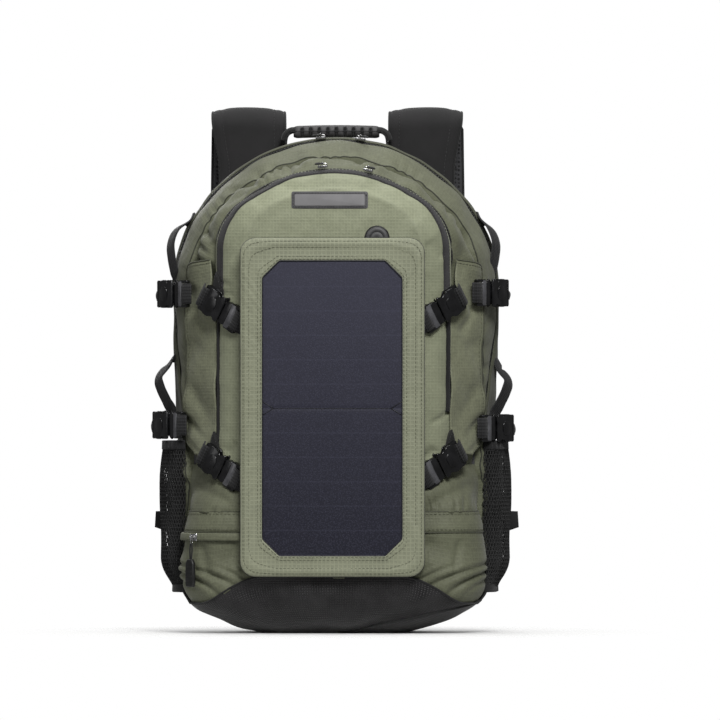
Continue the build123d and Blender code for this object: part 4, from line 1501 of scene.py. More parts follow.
def socket_pieces(buckle, place):
    """The socket: two curved shells with side windows, a back wall, a ridge and the webbing bar."""
    half = BUCKLE_WIDTH / 2
    shells = [
        hard_piece("shell", socket_outline(half, SOCKET_LENGTH, 5.2), 1.7, 4.6, 1.5),
        hard_piece("shell", socket_outline(half, SOCKET_LENGTH, 5.2), -4.5, -2.0, 0.8),
        hard_piece("core", rounded_outline(9, 25, 3, (18, 0)), -2.6, 2.6, 0.3),
        hard_piece("ridge", rounded_outline(11, 15, 5, (13.5, 0)), 4.0, 5.3, 0.8),
        hard_piece("bar", rounded_outline(2.6, BUCKLE_WIDTH - 1, 1.2, (27.6, 0)), -2.0, 2.0, 0.8),
    ]
    for side in (-1, 1):
        outline = rounded_outline(8, 3.2, 1.2, (24.4, side * (half - 2.1)))
        shells.append(hard_piece("arm", outline, -2.2, 2.4, 0.8))
    lip = np.array([(0.9, y, 3.1 - 0.02 * y * y / 10) for y in np.linspace(-9, 9, 20)])
    shells.append(sweep("lip", lip, (0, 0, 1), round_section(1.0)))
    obj = join(f"{buckle.kind}_socket_{buckle.name}", shells)
    return finish_piece(placed(obj, place), BUCKLE)


def clip_piece(buckle, place, body):
    """The clip: prongs in the side windows, a shoulder, the curved thumb bar and the webbing ladder."""
    half = BUCKLE_WIDTH / 2
    pieces = [
        hard_piece("shoulder", rounded_outline(7.5, 24, 2.2, (-4.6, 0)), -2.4, 2.4, 0.9),
        hard_piece("tongue", rounded_outline(11, 5.6, 1.6, (3.4, 0)), -1.8, 1.8, 0.6),
        hard_piece(
            "end_bar", rounded_outline(2.6, BUCKLE_WIDTH - 1.5, 1.2, (CLIP_END + 1.4, 0)), -2.2, 2.0, 0.8
        ),
    ]
    for side in (-1, 1):
        prong = [
            (-2, side * 9.4), (4, side * 9.9), (7.6, side * 9.2), (8.8, side * 7.4), (7.4, side * 6.4),
            (-2, side * 6.6)
        ]
        pieces.append(hard_piece("prong", prong if side > 0 else prong[::-1], -1.7, 1.7, 0.5))
        rail = rounded_outline(14.6, 2.8, 1.2, (-15.4, side * (half - 2.0)))
        pieces.append(hard_piece("rail", rail, -2.2, 2.2, 0.8))
    across = np.linspace(-half + 1.6, half - 1.6, 25)
    bow = 1 - (across / half) ** 2
    rows = []
    for x, z in (
        (-6.6, 2.0), (-7.6, 3.1), (-9.4, 3.9), (-11.6, 3.9), (-13.4, 3.0), (-14.2, 1.6), (-13.4, 0.4),
        (-10, 0.0), (-7.2, 0.6)
    ):
        rows.append([(x - 1.6 * b, y, 0.4 + z * (0.45 + 0.55 * b)) for y, b in zip(across, bow)])
    thumb = np.array(rows)
    faces = grid_faces(len(rows), len(across), True, False)
    bar = new_object("thumb", thumb, faces[:, ::-1])
    modify(bar, "SUBSURF", levels=1, render_levels=1)
    bar.name = f"{buckle.kind}_clip_bar_{buckle.name}"
    # The bar's pale plastic is a painted highlight.
    finish_piece(placed(bar, place), HIGHLIGHT_BAR_PLASTIC, body)
    obj = join(f"{buckle.kind}_clip_body_{buckle.name}", pieces)
    finish_piece(placed(obj, place), BUCKLE, body, [body])


def clip_webbing(buckle, place, body):
    """The ribbed webbing round the ladder's last bar, and its tail."""
    drop = -2.8 if buckle.kind == "front" else -1.0
    length = 8 if buckle.kind == "front" else 5.2
    over_bar = [(-15.4, 0, -0.6), (-15.8, 0, 1.2), (-17.2, 0, 2.6), (-20, 0, 3.0)]
    tail = ((-0.6, 2.4), (-2.2, 0.9), (-4.0, drop * 0.25), (0.6 - length, drop))
    line = smooth_line(over_bar + [(CLIP_END + x, 0, z) for x, z in tail], 0.8)
    strap = sweep("webbing", line, (0, 0, 1), flat_section(20.5, 1.5))
    folded = smooth_line(
        [(-15.4, 0, -0.6), (-17.5, 0, -2.4), (CLIP_END, 0, -2.6), (CLIP_END - 3, 0, -1.6)], 0.8
    )
    under = sweep("webbing_under", folded, (0, 0, 1), flat_section(20.5, 1.3))
    obj = join(f"{buckle.kind}_clip_webbing_{buckle.name}", [strap, under])
    finish_piece(placed(obj, place), WEBBING, body)


def buckles():
    for buckle in BUCKLES:
        place = buckle_place(buckle)
        body = f"{buckle.kind}_clip_{buckle.name}"
        socket = socket_pieces(buckle, place)
        if buckle.name == "upper_left":
            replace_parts(socket, f"{buckle.kind}_buckle_sockets")
        clip_piece(buckle, place, body)
        clip_webbing(buckle, place, body)


def front_tabs():
    """The box-stitched webbing tabs that hold the front sockets to the side panels."""
    for buckle in BUCKLES[:4]:
        place = buckle_place(buckle)
        points = [
            (24.0, 0, -2.4), (26, 0, 2.2), (28.5, 0, 2.9), (31.0, 0, 1.4), (33.0, 0, -1.6), (34.6, 0, -3.9),
            (35.3, 0, -4.8)
        ]
        line = smooth_line(points, 0.8)
        strap = sweep(f"front_tab_{buckle.name}", line, (0, 0, 1), flat_section(21, 1.7))
        replaced = ["front_buckle_tabs"] if buckle.name == "upper_left" else ()
        finish_piece(placed(strap, place), WEBBING, replaces=replaced)
        down = np.array([(x, 0, 1.75 - (x - 32) * 1.28) for x in np.linspace(31.4, 35.0, 5)])
        up = np.array([0.78, 0, 0.62])
        parts = []
        for y in (-8.6, 8.6):
            parts += stitch_parts(down + (0, y, 0), up, TAB_STITCH, 0.2)
        for k in (0, 4):
            row = np.array([down[k] + (0, y, 0) for y in np.linspace(-8.6, 8.6, 10)])
            parts += stitch_parts(row, up, TAB_STITCH, 0.2)
        for sign in (-1, 1):
            cross = np.array([down[k] + (0, sign * (4.3 * k - 8.6), 0) for k in range(5)])
            parts += stitch_parts(cross, up, TAB_STITCH, 0.2)
        stitches = merged(f"front_tab_stitches_{buckle.name}", parts)
        finish_piece(placed(stitches, place), BLACK_THREAD)


GARAGES = ((-114, 346, 0.12), (104, 341, -0.12), (-117, 187, 0.1), (116, 189, -0.1))


def zip_garages():
    """The dark pointed covers where the front zip and its piping run in above each front buckle."""
    for index, (x, z, lean) in enumerate(GARAGES):
        side = 1 if x > 0 else -1
        out = Vector((side * 0.55, -0.83, 0)).normalized()
        along = Vector((0.83, side * 0.55, 0)).normalized()
        turn = Matrix((along, Vector((0, 0, 1)), out)).transposed().to_4x4()
        place = Matrix.Translation(Vector((x, -71.0, z)) * MM) @ turn @ Matrix.Rotation(lean, 4, "Z")
        outline = [
            (0, 14), (-2.6, 9), (-4.6, 2), (-5.6, -6), (-5.4, -13), (5.4, -13), (5.6, -6), (4.6, 2),
            (2.6, 9)
        ]
        obj = hard_piece(f"zip_garage_{index}", outline, -3.0, 3.4, 1.5, 3)
        finish_piece(placed(obj, place), DARK_BINDING)
        row = [(px * 0.7, py * 0.8, 3.45) for px, py in outline + outline[:1]]
        stitches = merged(
            f"zip_garage_stitches_{index}",
            stitch_parts(np.array(evenly(row, 1.5)), (0, 0, 1), COVER_STITCH, -0.1)
        )
        finish_piece(placed(stitches, place), BLACK_THREAD)


# ---------------------------------------------------------------- harness, back and handle

STRAP_Y = 108.5
STRAP_THICKNESS = 10
STRAP_ROOT = (74.5, 412)
ARCH_CENTRE = (91.5, 504)
ARCH_RADIUS = 17
STRAP_FOOT = 225
STRAP_EDGES = {232: (110, 146), 300: (94, 148), 400: (53, 127), 540: (53, 125)}


def strap_line(side):
    """A shoulder strap's middle line, its outward directions and its half widths."""
    front = [(STRAP_ROOT[0], z) for z in np.linspace(STRAP_ROOT[1], ARCH_CENTRE[1], 24, endpoint=False)]
    turn = np.linspace(pi, 0, 18, endpoint=False)
    over = [(ARCH_CENTRE[0] + ARCH_RADIUS * cos(a), ARCH_CENTRE[1] + ARCH_RADIUS * sin(a)) for a in turn]
    behind = [(STRAP_Y, z) for z in np.linspace(ARCH_CENTRE[1], STRAP_FOOT, 90)]
    path = np.array(front + over + behind)
    heights = list(STRAP_EDGES)
    rear = np.arange(len(path)) >= len(front) + len(over)
    z = np.where(rear, path[:, 1], 540)
    taper = np.where(rear, 0, 8 * ease((520 - path[:, 1]) / 60))
    inner = soft_interp(z, heights, [edge[0] for edge in STRAP_EDGES.values()], 18)
    outer = soft_interp(z, heights, [edge[1] for edge in STRAP_EDGES.values()], 18)
    outer = outer - taper
    half = (outer - inner) / 2
    foot = np.clip((path[:, 1] - STRAP_FOOT) / 14, 0, 1)
    half = half * np.where(rear, np.sqrt(1 - (1 - foot) ** 2 * 0.7), 1)
    middle = np.stack([side * (inner + outer) / 2, path[:, 0], path[:, 1]], 1)
    tangent = directions(np.stack([0 * z, path[:, 0], path[:, 1]], 1))
    out = np.stack([0 * z, -tangent[:, 2], tangent[:, 1]], 1)
    return middle, out, half


def shoulder_straps():
    """Padded straps: smooth cloth outside, air mesh inside, a bound edge and two sewn channels."""
    for name, side in SIDES:
        middle, out, half = strap_line(side)
        run = np.arange(len(middle)) * 4.0
        for layer, sign, material in (("outer", 1, STRAP_CLOTH), ("inner", -1, AIR_MESH)):
            share = np.sin(np.linspace(-1, 1, 27) * pi / 2)
            crown = STRAP_THICKNESS / 2 * (1 - abs(share) ** 3.2) ** 0.6
            channel = 1.3 * (hump(share, 0.72, 0.05) + hump(share, -0.72, 0.05))
            soft = 0.45 * ripple(run[:, None], share[None, :] * 40, 55, 141 + sign)
            bend = 0.7 * folds(run[:, None], share[None, :] * 20, 13, 143) * hump(run, 140, 34)[:, None]
            bend = bend * (1 if sign < 0 else 0.35)
            lift = sign * np.clip(crown - channel + (soft - bend) * (1 - share**4), 0.15, None)
            wide = np.array([side, 0, 0.0]) * (half[:, None] * share[None, :])[..., None]
            points = middle[:, None] + wide + out[:, None] * lift[..., None]
            if sign * side > 0:
                points = points[:, ::-1]
            uv = cloth_lengths(points)
            obj = new_object(f"shoulder_strap_{name}_{layer}", points, grid_faces(*points.shape[:2]), uv)
            modify(obj, "SUBSURF", levels=1, render_levels=1)
            replaced = [f"shoulder_strap_{name}"] if sign > 0 else ()
            finish_piece(
                    obj, material, replaces=replaced
                )
        for edge in (-1, 1):
            line = middle + np.array([side * edge, 0, 0.0]) * half[:, None]
            sweep_name = f"shoulder_strap_{name}_binding_{'outer' if edge > 0 else 'inner'}"
            trim(sweep_name, line, out, round_section(1.5), DARK_BINDING)
            parts = []
            for face in (1, -1):
                across = np.array([side * edge, 0, 0.0]) * (half * 0.72)[:, None]
                row = middle + across + out * face * (STRAP_THICKNESS / 2 - 2.0)
                parts += stitch_parts(row, out * face, STRAP_STITCH)
            finish_piece(merged(sweep_name.replace("binding", "stitches"), parts), BLACK_THREAD)


def pad(centre, width, height, y_low, y_high, corner, channels, node):
    """A foam pad: crowned, pulled in at its edge, with sewn channels across it."""
    u = np.sin(np.linspace(-1, 1, 61) * pi / 2)[:, None]
    v = np.sin(np.linspace(-1, 1, 121) * pi / 2)[None, :]
    u, v = np.broadcast_arrays(u, v)
    x, z = u * width / 2, v * height / 2
    inside_x = np.clip(abs(x) - (width / 2 - corner), 0, corner)
    inside_z = np.clip(abs(z) - (height / 2 - corner), 0, corner)
    shrink = np.where(
        (inside_x > 0) & (inside_z > 0),
        np.hypot(inside_x, inside_z) / np.maximum(inside_x, inside_z).clip(1e-6), 1
    )
    x = np.sign(x) * (np.minimum(abs(x), width / 2 - corner) + inside_x / shrink)
    z = np.sign(z) * (np.minimum(abs(z), height / 2 - corner) + inside_z / shrink)
    crown = (1 - abs(u) ** 4) ** 0.45 * (1 - abs(v) ** 9) ** 0.5
    sewn = sum(hump(z, place, 2.6) for place in channels)
    ridges = 0.8 * ripple(x + 200 * centre[0], z, 42, 151)
    sunk = 1 - 0.55 * np.clip(sewn, 0, 1)
    y = y_low + 0.6 + (y_high - y_low - 0.8) * crown * sunk + ridges * crown - 0.8 * crown
    points = np.stack([centre[0] + x, y, centre[1] + z], -1)
    obj = new_object(f"{node}_cover", points[::-1], grid_faces(*points.shape[:2]), cloth_lengths(points))
    modify(obj, "SUBSURF", levels=1, render_levels=1)
    finish_piece(obj, AIR_MESH, replaces=[node])
    outline = rounded_outline(width - 1, height - 1, corner, centre, 8)
    rim = evenly(np.array([(px, y_low + 0.9, pz) for px, pz in outline]), 2.5, closed=True)
    trim(f"{node}_piping", rim, (0, 1, 0), round_section(1.6), DARK_BINDING, closed=True)
    parts = []
    for place in channels:
        reach = width / 2 - 7
        depth = y_low + 0.45 * (y_high - y_low) + 1.6
        row = np.array([(centre[0] + x, depth, centre[1] + place) for x in np.linspace(-reach, reach, 24)])
        parts += stitch_parts(row, (0, 1, 0), PAD_STITCH)
    if parts:
        finish_piece(merged(f"{node}_stitches", parts), BLACK_THREAD)


def back_side():
    """The back cloth with its bound edge, two tall foam pads and a lumbar pad."""
    t = np.linspace(-1, 1, 200)
    rim = bag_point(t, BACK_Y + 0 * t, SIDE_FOOT)
    foot = np.linspace(rim[-1], rim[0], 42)[1:]
    rim = np.vstack([rim, foot - (0, 0, 2.0)])
    middle = np.array([0, BACK_Y, 250.0])
    share = np.linspace(0.002, 0.99, 34)[None, :, None]
    points = middle + (rim[:, None] - middle) * share
    waves = 0.5 * ripple(points[..., 0], points[..., 2], 60, 161)
    points[..., 1] = BACK_Y + 4.2 * ease((1 - share[..., 0]) / 0.06) + waves
    obj = cloth("back_cloth", points, points[..., [0, 2]] * MM)
    finish_piece(obj, BLACK_CLOTH, replaces=["back_panel"])
    edge = rim + (0, 1.2, 0)
    trim("back_piping", edge, (0, 1, 0), round_section(2.0), DARK_BINDING)
    row = middle + (rim - middle) * 0.965 + (0, 4.6, 0)
    finish_piece(
        merged("back_stitches", stitch_parts(row, (0, 1, 0), BACK_STITCH)), BLACK_THREAD,
    )
    for name in ("left", "right"):
        node = f"back_pad_{name}"
        low, high, centre = box_of(node)
        channels = [high.z - centre[1] - place for place in (74, 148, 222)]
        pad(centre, high.x - low.x, high.z - low.z, low.y, high.y, 24, channels, node)
    low, high, centre = box_of("lumbar_pad")
    pad(centre, high.x - low.x, high.z - low.z, low.y, high.y, 18, [], "lumbar_pad")


def strap_webbing():
    """The adjusting webbing from each ladder lock down to its anchor wing."""
    for name, side in SIDES:
        line = [
            (128, 111, 234), (128, 110.5, 224), (128.3, 107.5, 214), (131, 101, 190), (138, 86, 150),
            (146, 75.5, 124), (149, 72.6, 116)
        ]
        points = smooth_line([(side * x, y, z) for x, y, z in line], 2.0)
        trim(
            f"strap_webbing_{name}_run", points, (0, 1, 0.35), flat_section(25, 1.6),
            WEBBING, replaces=[f"strap_webbing_{name}"]
        )
        tail = [
            (128, 112.5, 228), (128, 116, 221), (128.5, 116.5, 205), (129.5, 114, 180), (130, 112.5, 158)
        ]
        points = smooth_line([(side * x, y, z) for x, y, z in tail], 2.0)
        trim(f"strap_webbing_{name}_tail", points, (0, 1, 0.1), flat_section(25, 1.6), WEBBING)
        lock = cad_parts[f"ladder_lock_{name}"]
        lock.data.materials.clear()
        lock.data.materials.append(BUCKLE)
        modify(lock, "BEVEL", width=0.7 * MM, segments=3, limit_method="ANGLE")
        wing = [(140, 121), (140, 90), (160, 96), (183, 104), (182, 120), (160, 121)]
        outline = [(side * x, z) for x, z in (wing if side < 0 else wing[::-1])]
        turned = upright(0, 73.2)
        obj = hard_piece(f"anchor_wing_{name}", outline, 0, 3.8, 1.0, 3, turned)
        finish_piece(obj, BLACK_CLOTH, replaces=["strap_anchors"] if side < 0 else ())
        row = [
            (side * x, 73.4, z)
            for x, z in (
                (144, 118), (144, 95), (160, 99.5), (179, 106.5), (178.5, 117.5), (160, 118), (144, 118)
            )
        ]
        parts = stitch_parts(np.array(evenly(row, 2)), (0, 1, 0), ANCHOR_STITCH)
        finish_piece(merged(f"anchor_stitches_{name}", parts), BLACK_THREAD)


HANDLE_Y = 62
GRIP_LENGTH = 86
GRIP_LOW = 495.5
GRIP_HIGH = 508
GRIP_SLOTS = 9
GRIP_PITCH = 8.6
GRIP_STRAIGHT = 38.5  # half the length between its rounded ends


def grip_height(x):
    """How much lower the grip sits away from its middle."""
    return -0.9 * (x / (GRIP_LENGTH / 2)) ** 2


def handle():
    """The carrying handle: ribbed rubber moulded round a webbing strap."""
    sides = 28
    angles = np.linspace(0, 2 * pi, sides, endpoint=False)
    round_end = np.linspace(GRIP_STRAIGHT, GRIP_LENGTH / 2, 8)
    x = np.concatenate([-round_end[::-1], np.linspace(-38.4, 38.4, 270), round_end])
    centre_z = (GRIP_LOW + GRIP_HIGH) / 2
    half_z, half_y = (GRIP_HIGH - GRIP_LOW) / 2, 8.5
    end = np.sqrt(1 - np.clip((abs(x) - GRIP_STRAIGHT) / 4.9, 0, 1) ** 2 * 0.45)
    rings = []
    for place, full in zip(x, end):
        from_slot = (place + GRIP_PITCH / 2) % GRIP_PITCH - GRIP_PITCH / 2
        slot = hump(from_slot, 0, 1.4) if abs(place) < GRIP_PITCH * GRIP_SLOTS / 2 else 0.0
        c, s = np.cos(angles), np.sin(angles)
        y = half_y * np.sign(c) * abs(c) ** 0.75 * full
        z = half_z * np.sign(s) * abs(s) ** 0.75 * full
        away = 1 - np.clip(abs(z + 0.4) / (half_z * 0.78), 0, 1) ** 6
        y = y - np.sign(c) * 2.4 * slot * away * (abs(c) > 0.25)
        rings.append(np.stack([place + 0 * y, HANDLE_Y + y, centre_z + z + grip_height(place)], 1))
    points = np.array(rings)
    faces = [list(face) for face in grid_faces(len(x), sides, False, True)]
    faces += [list(range(sides))[::-1], [(len(x) - 1) * sides + k for k in range(sides)]]
    grip = new_object("handle_rubber", points, [face[::-1] for face in faces])
    finish_piece(grip, RUBBER, "handle", ["handle_grip"])

    # Near-black plates sunk in the grip's slots: painted shade in the grooves.
    slot_shade_plates = []
    for k in range(GRIP_SLOTS):
        place = (k - (GRIP_SLOTS - 1) / 2) * GRIP_PITCH
        for front in (-1, 1):
            turned = upright(place, HANDLE_Y + front * 7.3, centre_z + grip_height(place))
            slot_shade_plates.append(
                hard_piece("slot", rounded_outline(2.0, 8.4, 0.95, (0, 0), 4), -0.7, 0.7, 0.2, 1, turned)
            )
    finish_piece(join("handle_slots", slot_shade_plates), SLOT_SHADE_RUBBER, "handle")

    right = [(38, 62, 500.5), (45, 62, 499.5), (48.6, 62, 496), (49.8, 62, 489), (49.5, 62, 480)]
    left = [(-x, y, z) for x, y, z in reversed(right)]
    points = smooth_line(left + right, 1.6)
    ups = np.stack([points[:, 0] / 50, 0 * points[:, 0], 1 - abs(points[:, 0]) / 60], 1)
    trim(
        "handle_webbing", points, ups, flat_section(17, 1.9),
        WEBBING, "handle", ["handle_strap"]
    )
    for name, side in SIDES:
        bend = smooth_line(
            [
                (side * px, HANDLE_Y, pz)
                for px, pz in ((41, 499.6), (45, 499.2), (48.4, 496.5), (49.8, 491.5))
            ],
            1.0
        )
        ups = np.array([side * 0.5, 0, 0.85])
        trim(
            f"handle_collar_{name}", bend, ups, flat_section(16.5, 6.4, 0.42),
            DARK_BINDING, "handle"
        )
    for name, side in SIDES:
        tab = smooth_line(
            [
                (side * 47, 63, 487), (side * 46.5, 68, 484), (side * 45.5, 70.6, 478),
                (side * 45, 71.2, 454)
            ],
            1.6
        )
        trim(
            f"handle_tab_{name}", tab, (0, 1, 0.2), flat_section(15, 1.6),
            WEBBING, replaces=["handle_tabs"] if side < 0 else ()
        )
        rows = [
            (side * 45 + dx, 73.2, z)
            for dx, z in ((-5.5, 473), (5.5, 473), (5.5, 457), (-5.5, 457), (-5.5, 473), (5.5, 457))
        ]
        box_stitch = merged(
            f"handle_tab_stitches_{name}",
            stitch_parts(np.array(evenly(rows, 1.5)), (0, 1, 0), HANDLE_STITCH, -0.3)
        )
        finish_piece(box_stitch, BLACK_THREAD)


def inner_pieces():
    """Materials for the sheets inside the bag, which show only through a gap."""
    for material, names in (
        (LINING, ("main_divider", "front_divider", "laptop_sleeve")),
        (STIFFENER, ("frame_sheet", "panel_board")),
        (CELL_EDGE, ("solar_cells", "solar_laminate")),
    ):
        for name in names:
            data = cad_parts[name].data
            data.materials.clear()
            data.materials.append(material)


# ---------------------------------------------------------------- compression straps, zip sliders and pulls

SIDE_STRAP_RISE = {"upper": 72, "lower": 68}
SIDE_STRAP_BULGE = {"upper": 5, "lower": 12}


def side_loops():
    """Webbing from each side socket, round behind it, bulging out and up to its root on the bag's side."""
    for index, buckle in enumerate(BUCKLES[4:]):
        side = 1 if buckle.x > 0 else -1
        row = buckle.name.split("_")[0]
        rise, bulge = SIDE_STRAP_RISE[row], SIDE_STRAP_BULGE[row]
        end = buckle_place(buckle) @ (Vector((27.6, 0, 0)) * MM) / MM
        z = buckle.z
        skin = abs(buckle.x)
        root_x = float(side_x(30.0, z + rise))
        points = [
            (end.x - side * 1.8, end.y - 0.6, z - 3),
            (end.x - side * 2.0, end.y + 3.4, z + 4),
            (side * (skin - 1.5), 8, z + 11),
            (side * (skin + 0.3 * bulge), 10, z + 23),
            (side * (skin + 0.85 * bulge), 12, z + 37),
            (side * (skin + bulge), 15, z + 0.7 * rise),
            (side * (skin + 0.4 * bulge - 2), 20, z + 0.88 * rise),
            (side * (root_x + 2.0), 28, z + rise),
            (side * (root_x - 1.5), 34, z + rise + 2),
        ]
        line = smooth_line(points, 1.5)
        out = np.array([side * 0.9, -0.42, 0.15])
        trim(
            f"side_strap_{buckle.name}", line, out, flat_section(17, 1.6),
            WEBBING, replaces=["side_straps"] if index == 0 else ()
        )


PIN_HEIGHT = 4.5
# The arc each pair of sliders runs on, where they rest on it in degrees from the top, and how
# far the cord loop on each pull tips down in degrees and leans in millimetres.
ZipRun = namedtuple("ZipRun", "radius centre_z y places loop_tilt loop_lean")
ZIP_RUNS = {
    "main": ZipRun(165.79, 326.45, 22, {"left": -5, "right": 8.5}, 2.4, -5.0),
    "front": ZipRun(150.0, 312, -66, {"left": -4, "right": 13}, 2.8, -4.0),
}


def arc_place(run, degrees):
    """A slider's own frame on an arched zip: x along the zip, y to the back and z off the bag."""
    a = radians(degrees)
    out = Vector((sin(a), 0, cos(a)))
    along = Vector((cos(a), 0, -sin(a)))
    spot = Vector((0, run.y, run.centre_z)) + out * (run.radius + 1.5)
    turn = Matrix((along, Vector((0, 1, 0)), out)).transposed().to_4x4()
    return Matrix.Translation(spot * MM) @ turn


def slider_piece(slider, place):
    """A zip slider: a waisted metal plate with a raised bridge for its pull."""
    outline = [
        (5.2, 2.4), (4.4, 3.9), (0, 3.3), (-4.4, 3.0), (-5.2, 1.6), (-5.2, -1.6), (-4.4, -3.0), (0, -3.3),
        (4.4, -3.9), (5.2, -2.4)
    ]
    parts = [hard_piece("plate", outline, 0.2, 2.5, 0.7, 3)]
    arch = ((-3.9, 1.6), (-3.7, 2.9), (-2.6, 3.8), (0, 4.0), (2.6, 3.8), (3.7, 2.9), (3.9, 1.6))
    bridge = np.array([(x, 0, z) for x, z in arch])
    parts.append(sweep("bridge", smooth_line(bridge, 0.6), (0, 0, 1), flat_section(1.1, 1.0)))
    obj = join(f"{slider}_metal", parts)
    return finish_piece(placed(obj, place), METAL, slider, [slider])


def link_ring(name, length):
    """A long ring round the bridge's bar, in the upright plane it swings in."""
    near = [(0, y, PIN_HEIGHT + z) for y, z in arc_points((0, 0), 1.35, -90, 90, 9)]
    far = [(0, y, PIN_HEIGHT + z) for y, z in arc_points((-length, 0), 1.35, 90, 270, 9)]
    return sweep(name, smooth_line(near + far, 0.5, True), (1, 0, 0), round_section(0.42, 8), True)


def pull_piece(pull, place, loop, tilt):
    """A pull: a metal ring through the bridge and a thin cord loop, hanging to the front."""
    obj = placed(link_ring(f"{pull}_cord_ring", 5.2), place)
    finish_piece(obj, METAL, pull)
    line = smooth_line(loop, 0.8, True)
    cord = sweep(f"{pull}_cord_loop", line, (0, 0, 1), round_section(0.8, 8), True)
    obj = placed(cord, place @ Matrix.Rotation(-radians(tilt), 4, "X"))
    finish_piece(obj, BLACK_CLOTH, pull, [pull])


def cord_loop(lean, reach, width):
    """A narrow hanging loop of cord from the ring, leaning to one side."""
    heights = ((0, 5.0, 3.8), (0.35, 8.0, 4.4), (0.75, 12.0, 4.0), (1.0, 15.0, 3.2))
    right, left = (
        [
            (lean * share + sign * width * (0.35 + 0.65 * share), -forward * reach / 15, up)
            for share, forward, up in heights
        ]
        for sign in (1, -1)
    )
    return right + left[::-1]


def zip_sliders():
    for prefix, run in ZIP_RUNS.items():
        for side, degrees in run.places.items():
            place = arc_place(run, degrees)
            slider_piece(f"{prefix}_slider_{side}", place)
            lean = run.loop_lean if side == "left" else -run.loop_lean
            pull_piece(f"{prefix}_pull_{side}", place, cord_loop(lean, 17, 2.6), run.loop_tilt)


def pocket_zip():
    """The slider of the zip under the lower band, with two cords to a rubber grip."""
    out = Vector((-0.7071, -0.7071, 0))
    along = Vector((0.7071, -0.7071, 0))
    spot = Vector((-103.5, -53.1, POCKET_ZIP_Z)) + 47.8 * out
    turn = Matrix((along, Vector((0, 0, 1)), out)).transposed()
    place = Matrix.Translation(spot * MM) @ turn.to_4x4()
    slider_piece("pocket_slider", place)
    finish_piece(placed(link_ring("pocket_pull_ring", 5.2), place), METAL, "pocket_pull")
    cords = []
    for sideways in (-1, 1):
        line = smooth_line(
            [
                (sideways * 0.8, -6, 5), (sideways * 1.6, -12, 5.2), (sideways * 1.2, -18, 5.4),
                (sideways * 0.9, -23, 5.5)
            ],
            1
        )
        cords.append(sweep("cord", line, (0, 0, 1), round_section(0.75, 8)))
    finish_piece(placed(join("pocket_pull_cords", cords), place), BLACK_CLOTH, "pocket_pull")
    outline = [
        (-3.2, -22), (3.2, -22), (5.6, -26), (6.0, -46), (4.6, -49.6), (-4.6, -49.6), (-6.0, -46),
        (-5.6, -26)
    ]
    grip = [hard_piece("grip", outline[::-1], 3.9, 8.0, 1.6, 4)]
    for k in range(4):
        grip.append(hard_piece("rib", rounded_outline(8.2, 1.8, 0.8, (0, -30 - 4.6 * k)), 7.2, 8.5, 0.5, 2))
    finish_piece(
        placed(join("pocket_pull_grip", grip), place), BLACK_RUBBER, "pocket_pull",
        ["pocket_pull"]
    )


# ---------------------------------------------------------------- studio

VIEW_CENTRE = (0.025, 0.0, 0.272)
VIEW_AZIMUTH = radians(1.3)
VIEW_DISTANCE = 14.0
VIEW_WIDTH = 0.72
AMBIENT = 0.16
KEY_POWER = 58.0
FILL_POWER = 6.0
TOP_POWER = 24.0
BACK_POWER = 16.0
FLOOR_RADIUS = 420
FLOOR_SIDES = 96


def area_light(name, place, target, size, power, colour=(1, 1, 1)):
    light = bpy.data.lights.new(name, "AREA")
    light.shape = "DISK"
    light.size = size
    light.energy = power
    light.color = colour
    obj = linked(name, light)
    obj.location = place
    obj.rotation_euler = (Vector(target) - Vector(place)).to_track_quat("-Z", "Y").to_euler()


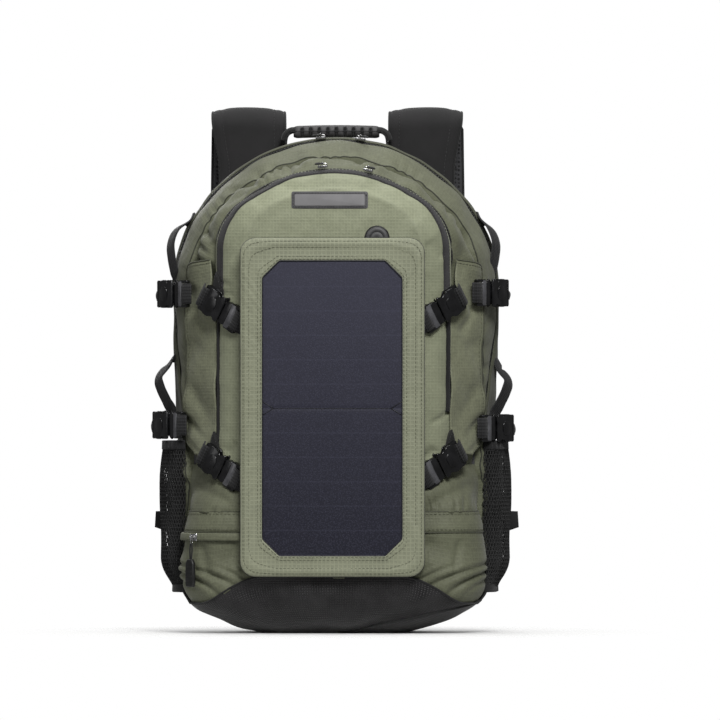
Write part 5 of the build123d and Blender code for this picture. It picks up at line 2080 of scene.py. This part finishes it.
def studio():
    scene = bpy.context.scene
    camera = bpy.data.cameras.new("camera")
    camera.lens = 36 * VIEW_DISTANCE / VIEW_WIDTH
    camera.sensor_width = 36
    camera.clip_end = 50
    obj = linked("camera", camera)
    back = Vector((sin(VIEW_AZIMUTH), -cos(VIEW_AZIMUTH), 0))
    obj.location = Vector(VIEW_CENTRE) + back * VIEW_DISTANCE
    obj.rotation_euler = (-back).to_track_quat("-Z", "Y").to_euler()
    scene.camera = obj

    world = bpy.data.worlds.new("studio")
    world.use_nodes = True
    scene.world = world
    background = world.node_tree.nodes["Background"]
    background.inputs["Color"].default_value = (1.0, 1.0, 1.0, 1.0)
    path = world.node_tree.nodes.new("ShaderNodeLightPath")
    strength = world.node_tree.nodes.new("ShaderNodeMapRange")
    strength.inputs["To Min"].default_value = AMBIENT
    strength.inputs["To Max"].default_value = 1.0
    world.node_tree.links.new(path.outputs["Is Camera Ray"], strength.inputs["Value"])
    world.node_tree.links.new(strength.outputs["Result"], background.inputs["Strength"])

    middle = (0, 0, 0.27)
    area_light("key", (0.5, -2.1, 1.9), middle, 1.1, KEY_POWER)
    area_light("fill", (-1.7, -1.6, 0.7), middle, 1.4, FILL_POWER)
    area_light("top", (0.0, 0.2, 2.4), middle, 1.4, TOP_POWER)
    area_light("back_light", (-0.6, 2.2, 1.2), middle, 1.4, BACK_POWER)

    turns = [2 * pi * k / FLOOR_SIDES for k in range(FLOOR_SIDES)]
    ring = [(FLOOR_RADIUS * cos(turn), FLOOR_RADIUS * sin(turn), 0) for turn in turns]
    floor = new_object("floor", ring, [range(FLOOR_SIDES)])
    pale = Shader("pale_floor", 0.9)
    grain = pale.noise(pale.place(), 40.0, 3.0)
    away = pale.node("VectorMath", {0: pale.place()}, operation="LENGTH").outputs["Value"]
    pale.links.new(pale.ramp(away, 0.08, 0.34, 1.0, 0.0), pale.surface.inputs["Alpha"])
    floor.data.materials.append(pale.finish(pale.mix(grain, (0.88, 0.88, 0.87, 1), (0.92, 0.92, 0.91, 1))))
    scene.view_settings.view_transform = "Standard"


# ---------------------------------------------------------------- the whole object

studio()
main_shells()
front_compartment()
zips()
lower_shells()
wings()
mesh_pockets()
panel_sleeve()
panel_back_cloth()
laminate()
label_patch()
grommet()
junction_box()
buckles()
front_tabs()
zip_garages()
side_loops()
shoulder_straps()
back_side()
strap_webbing()
handle()
inner_pieces()
zip_sliders()
pocket_zip()
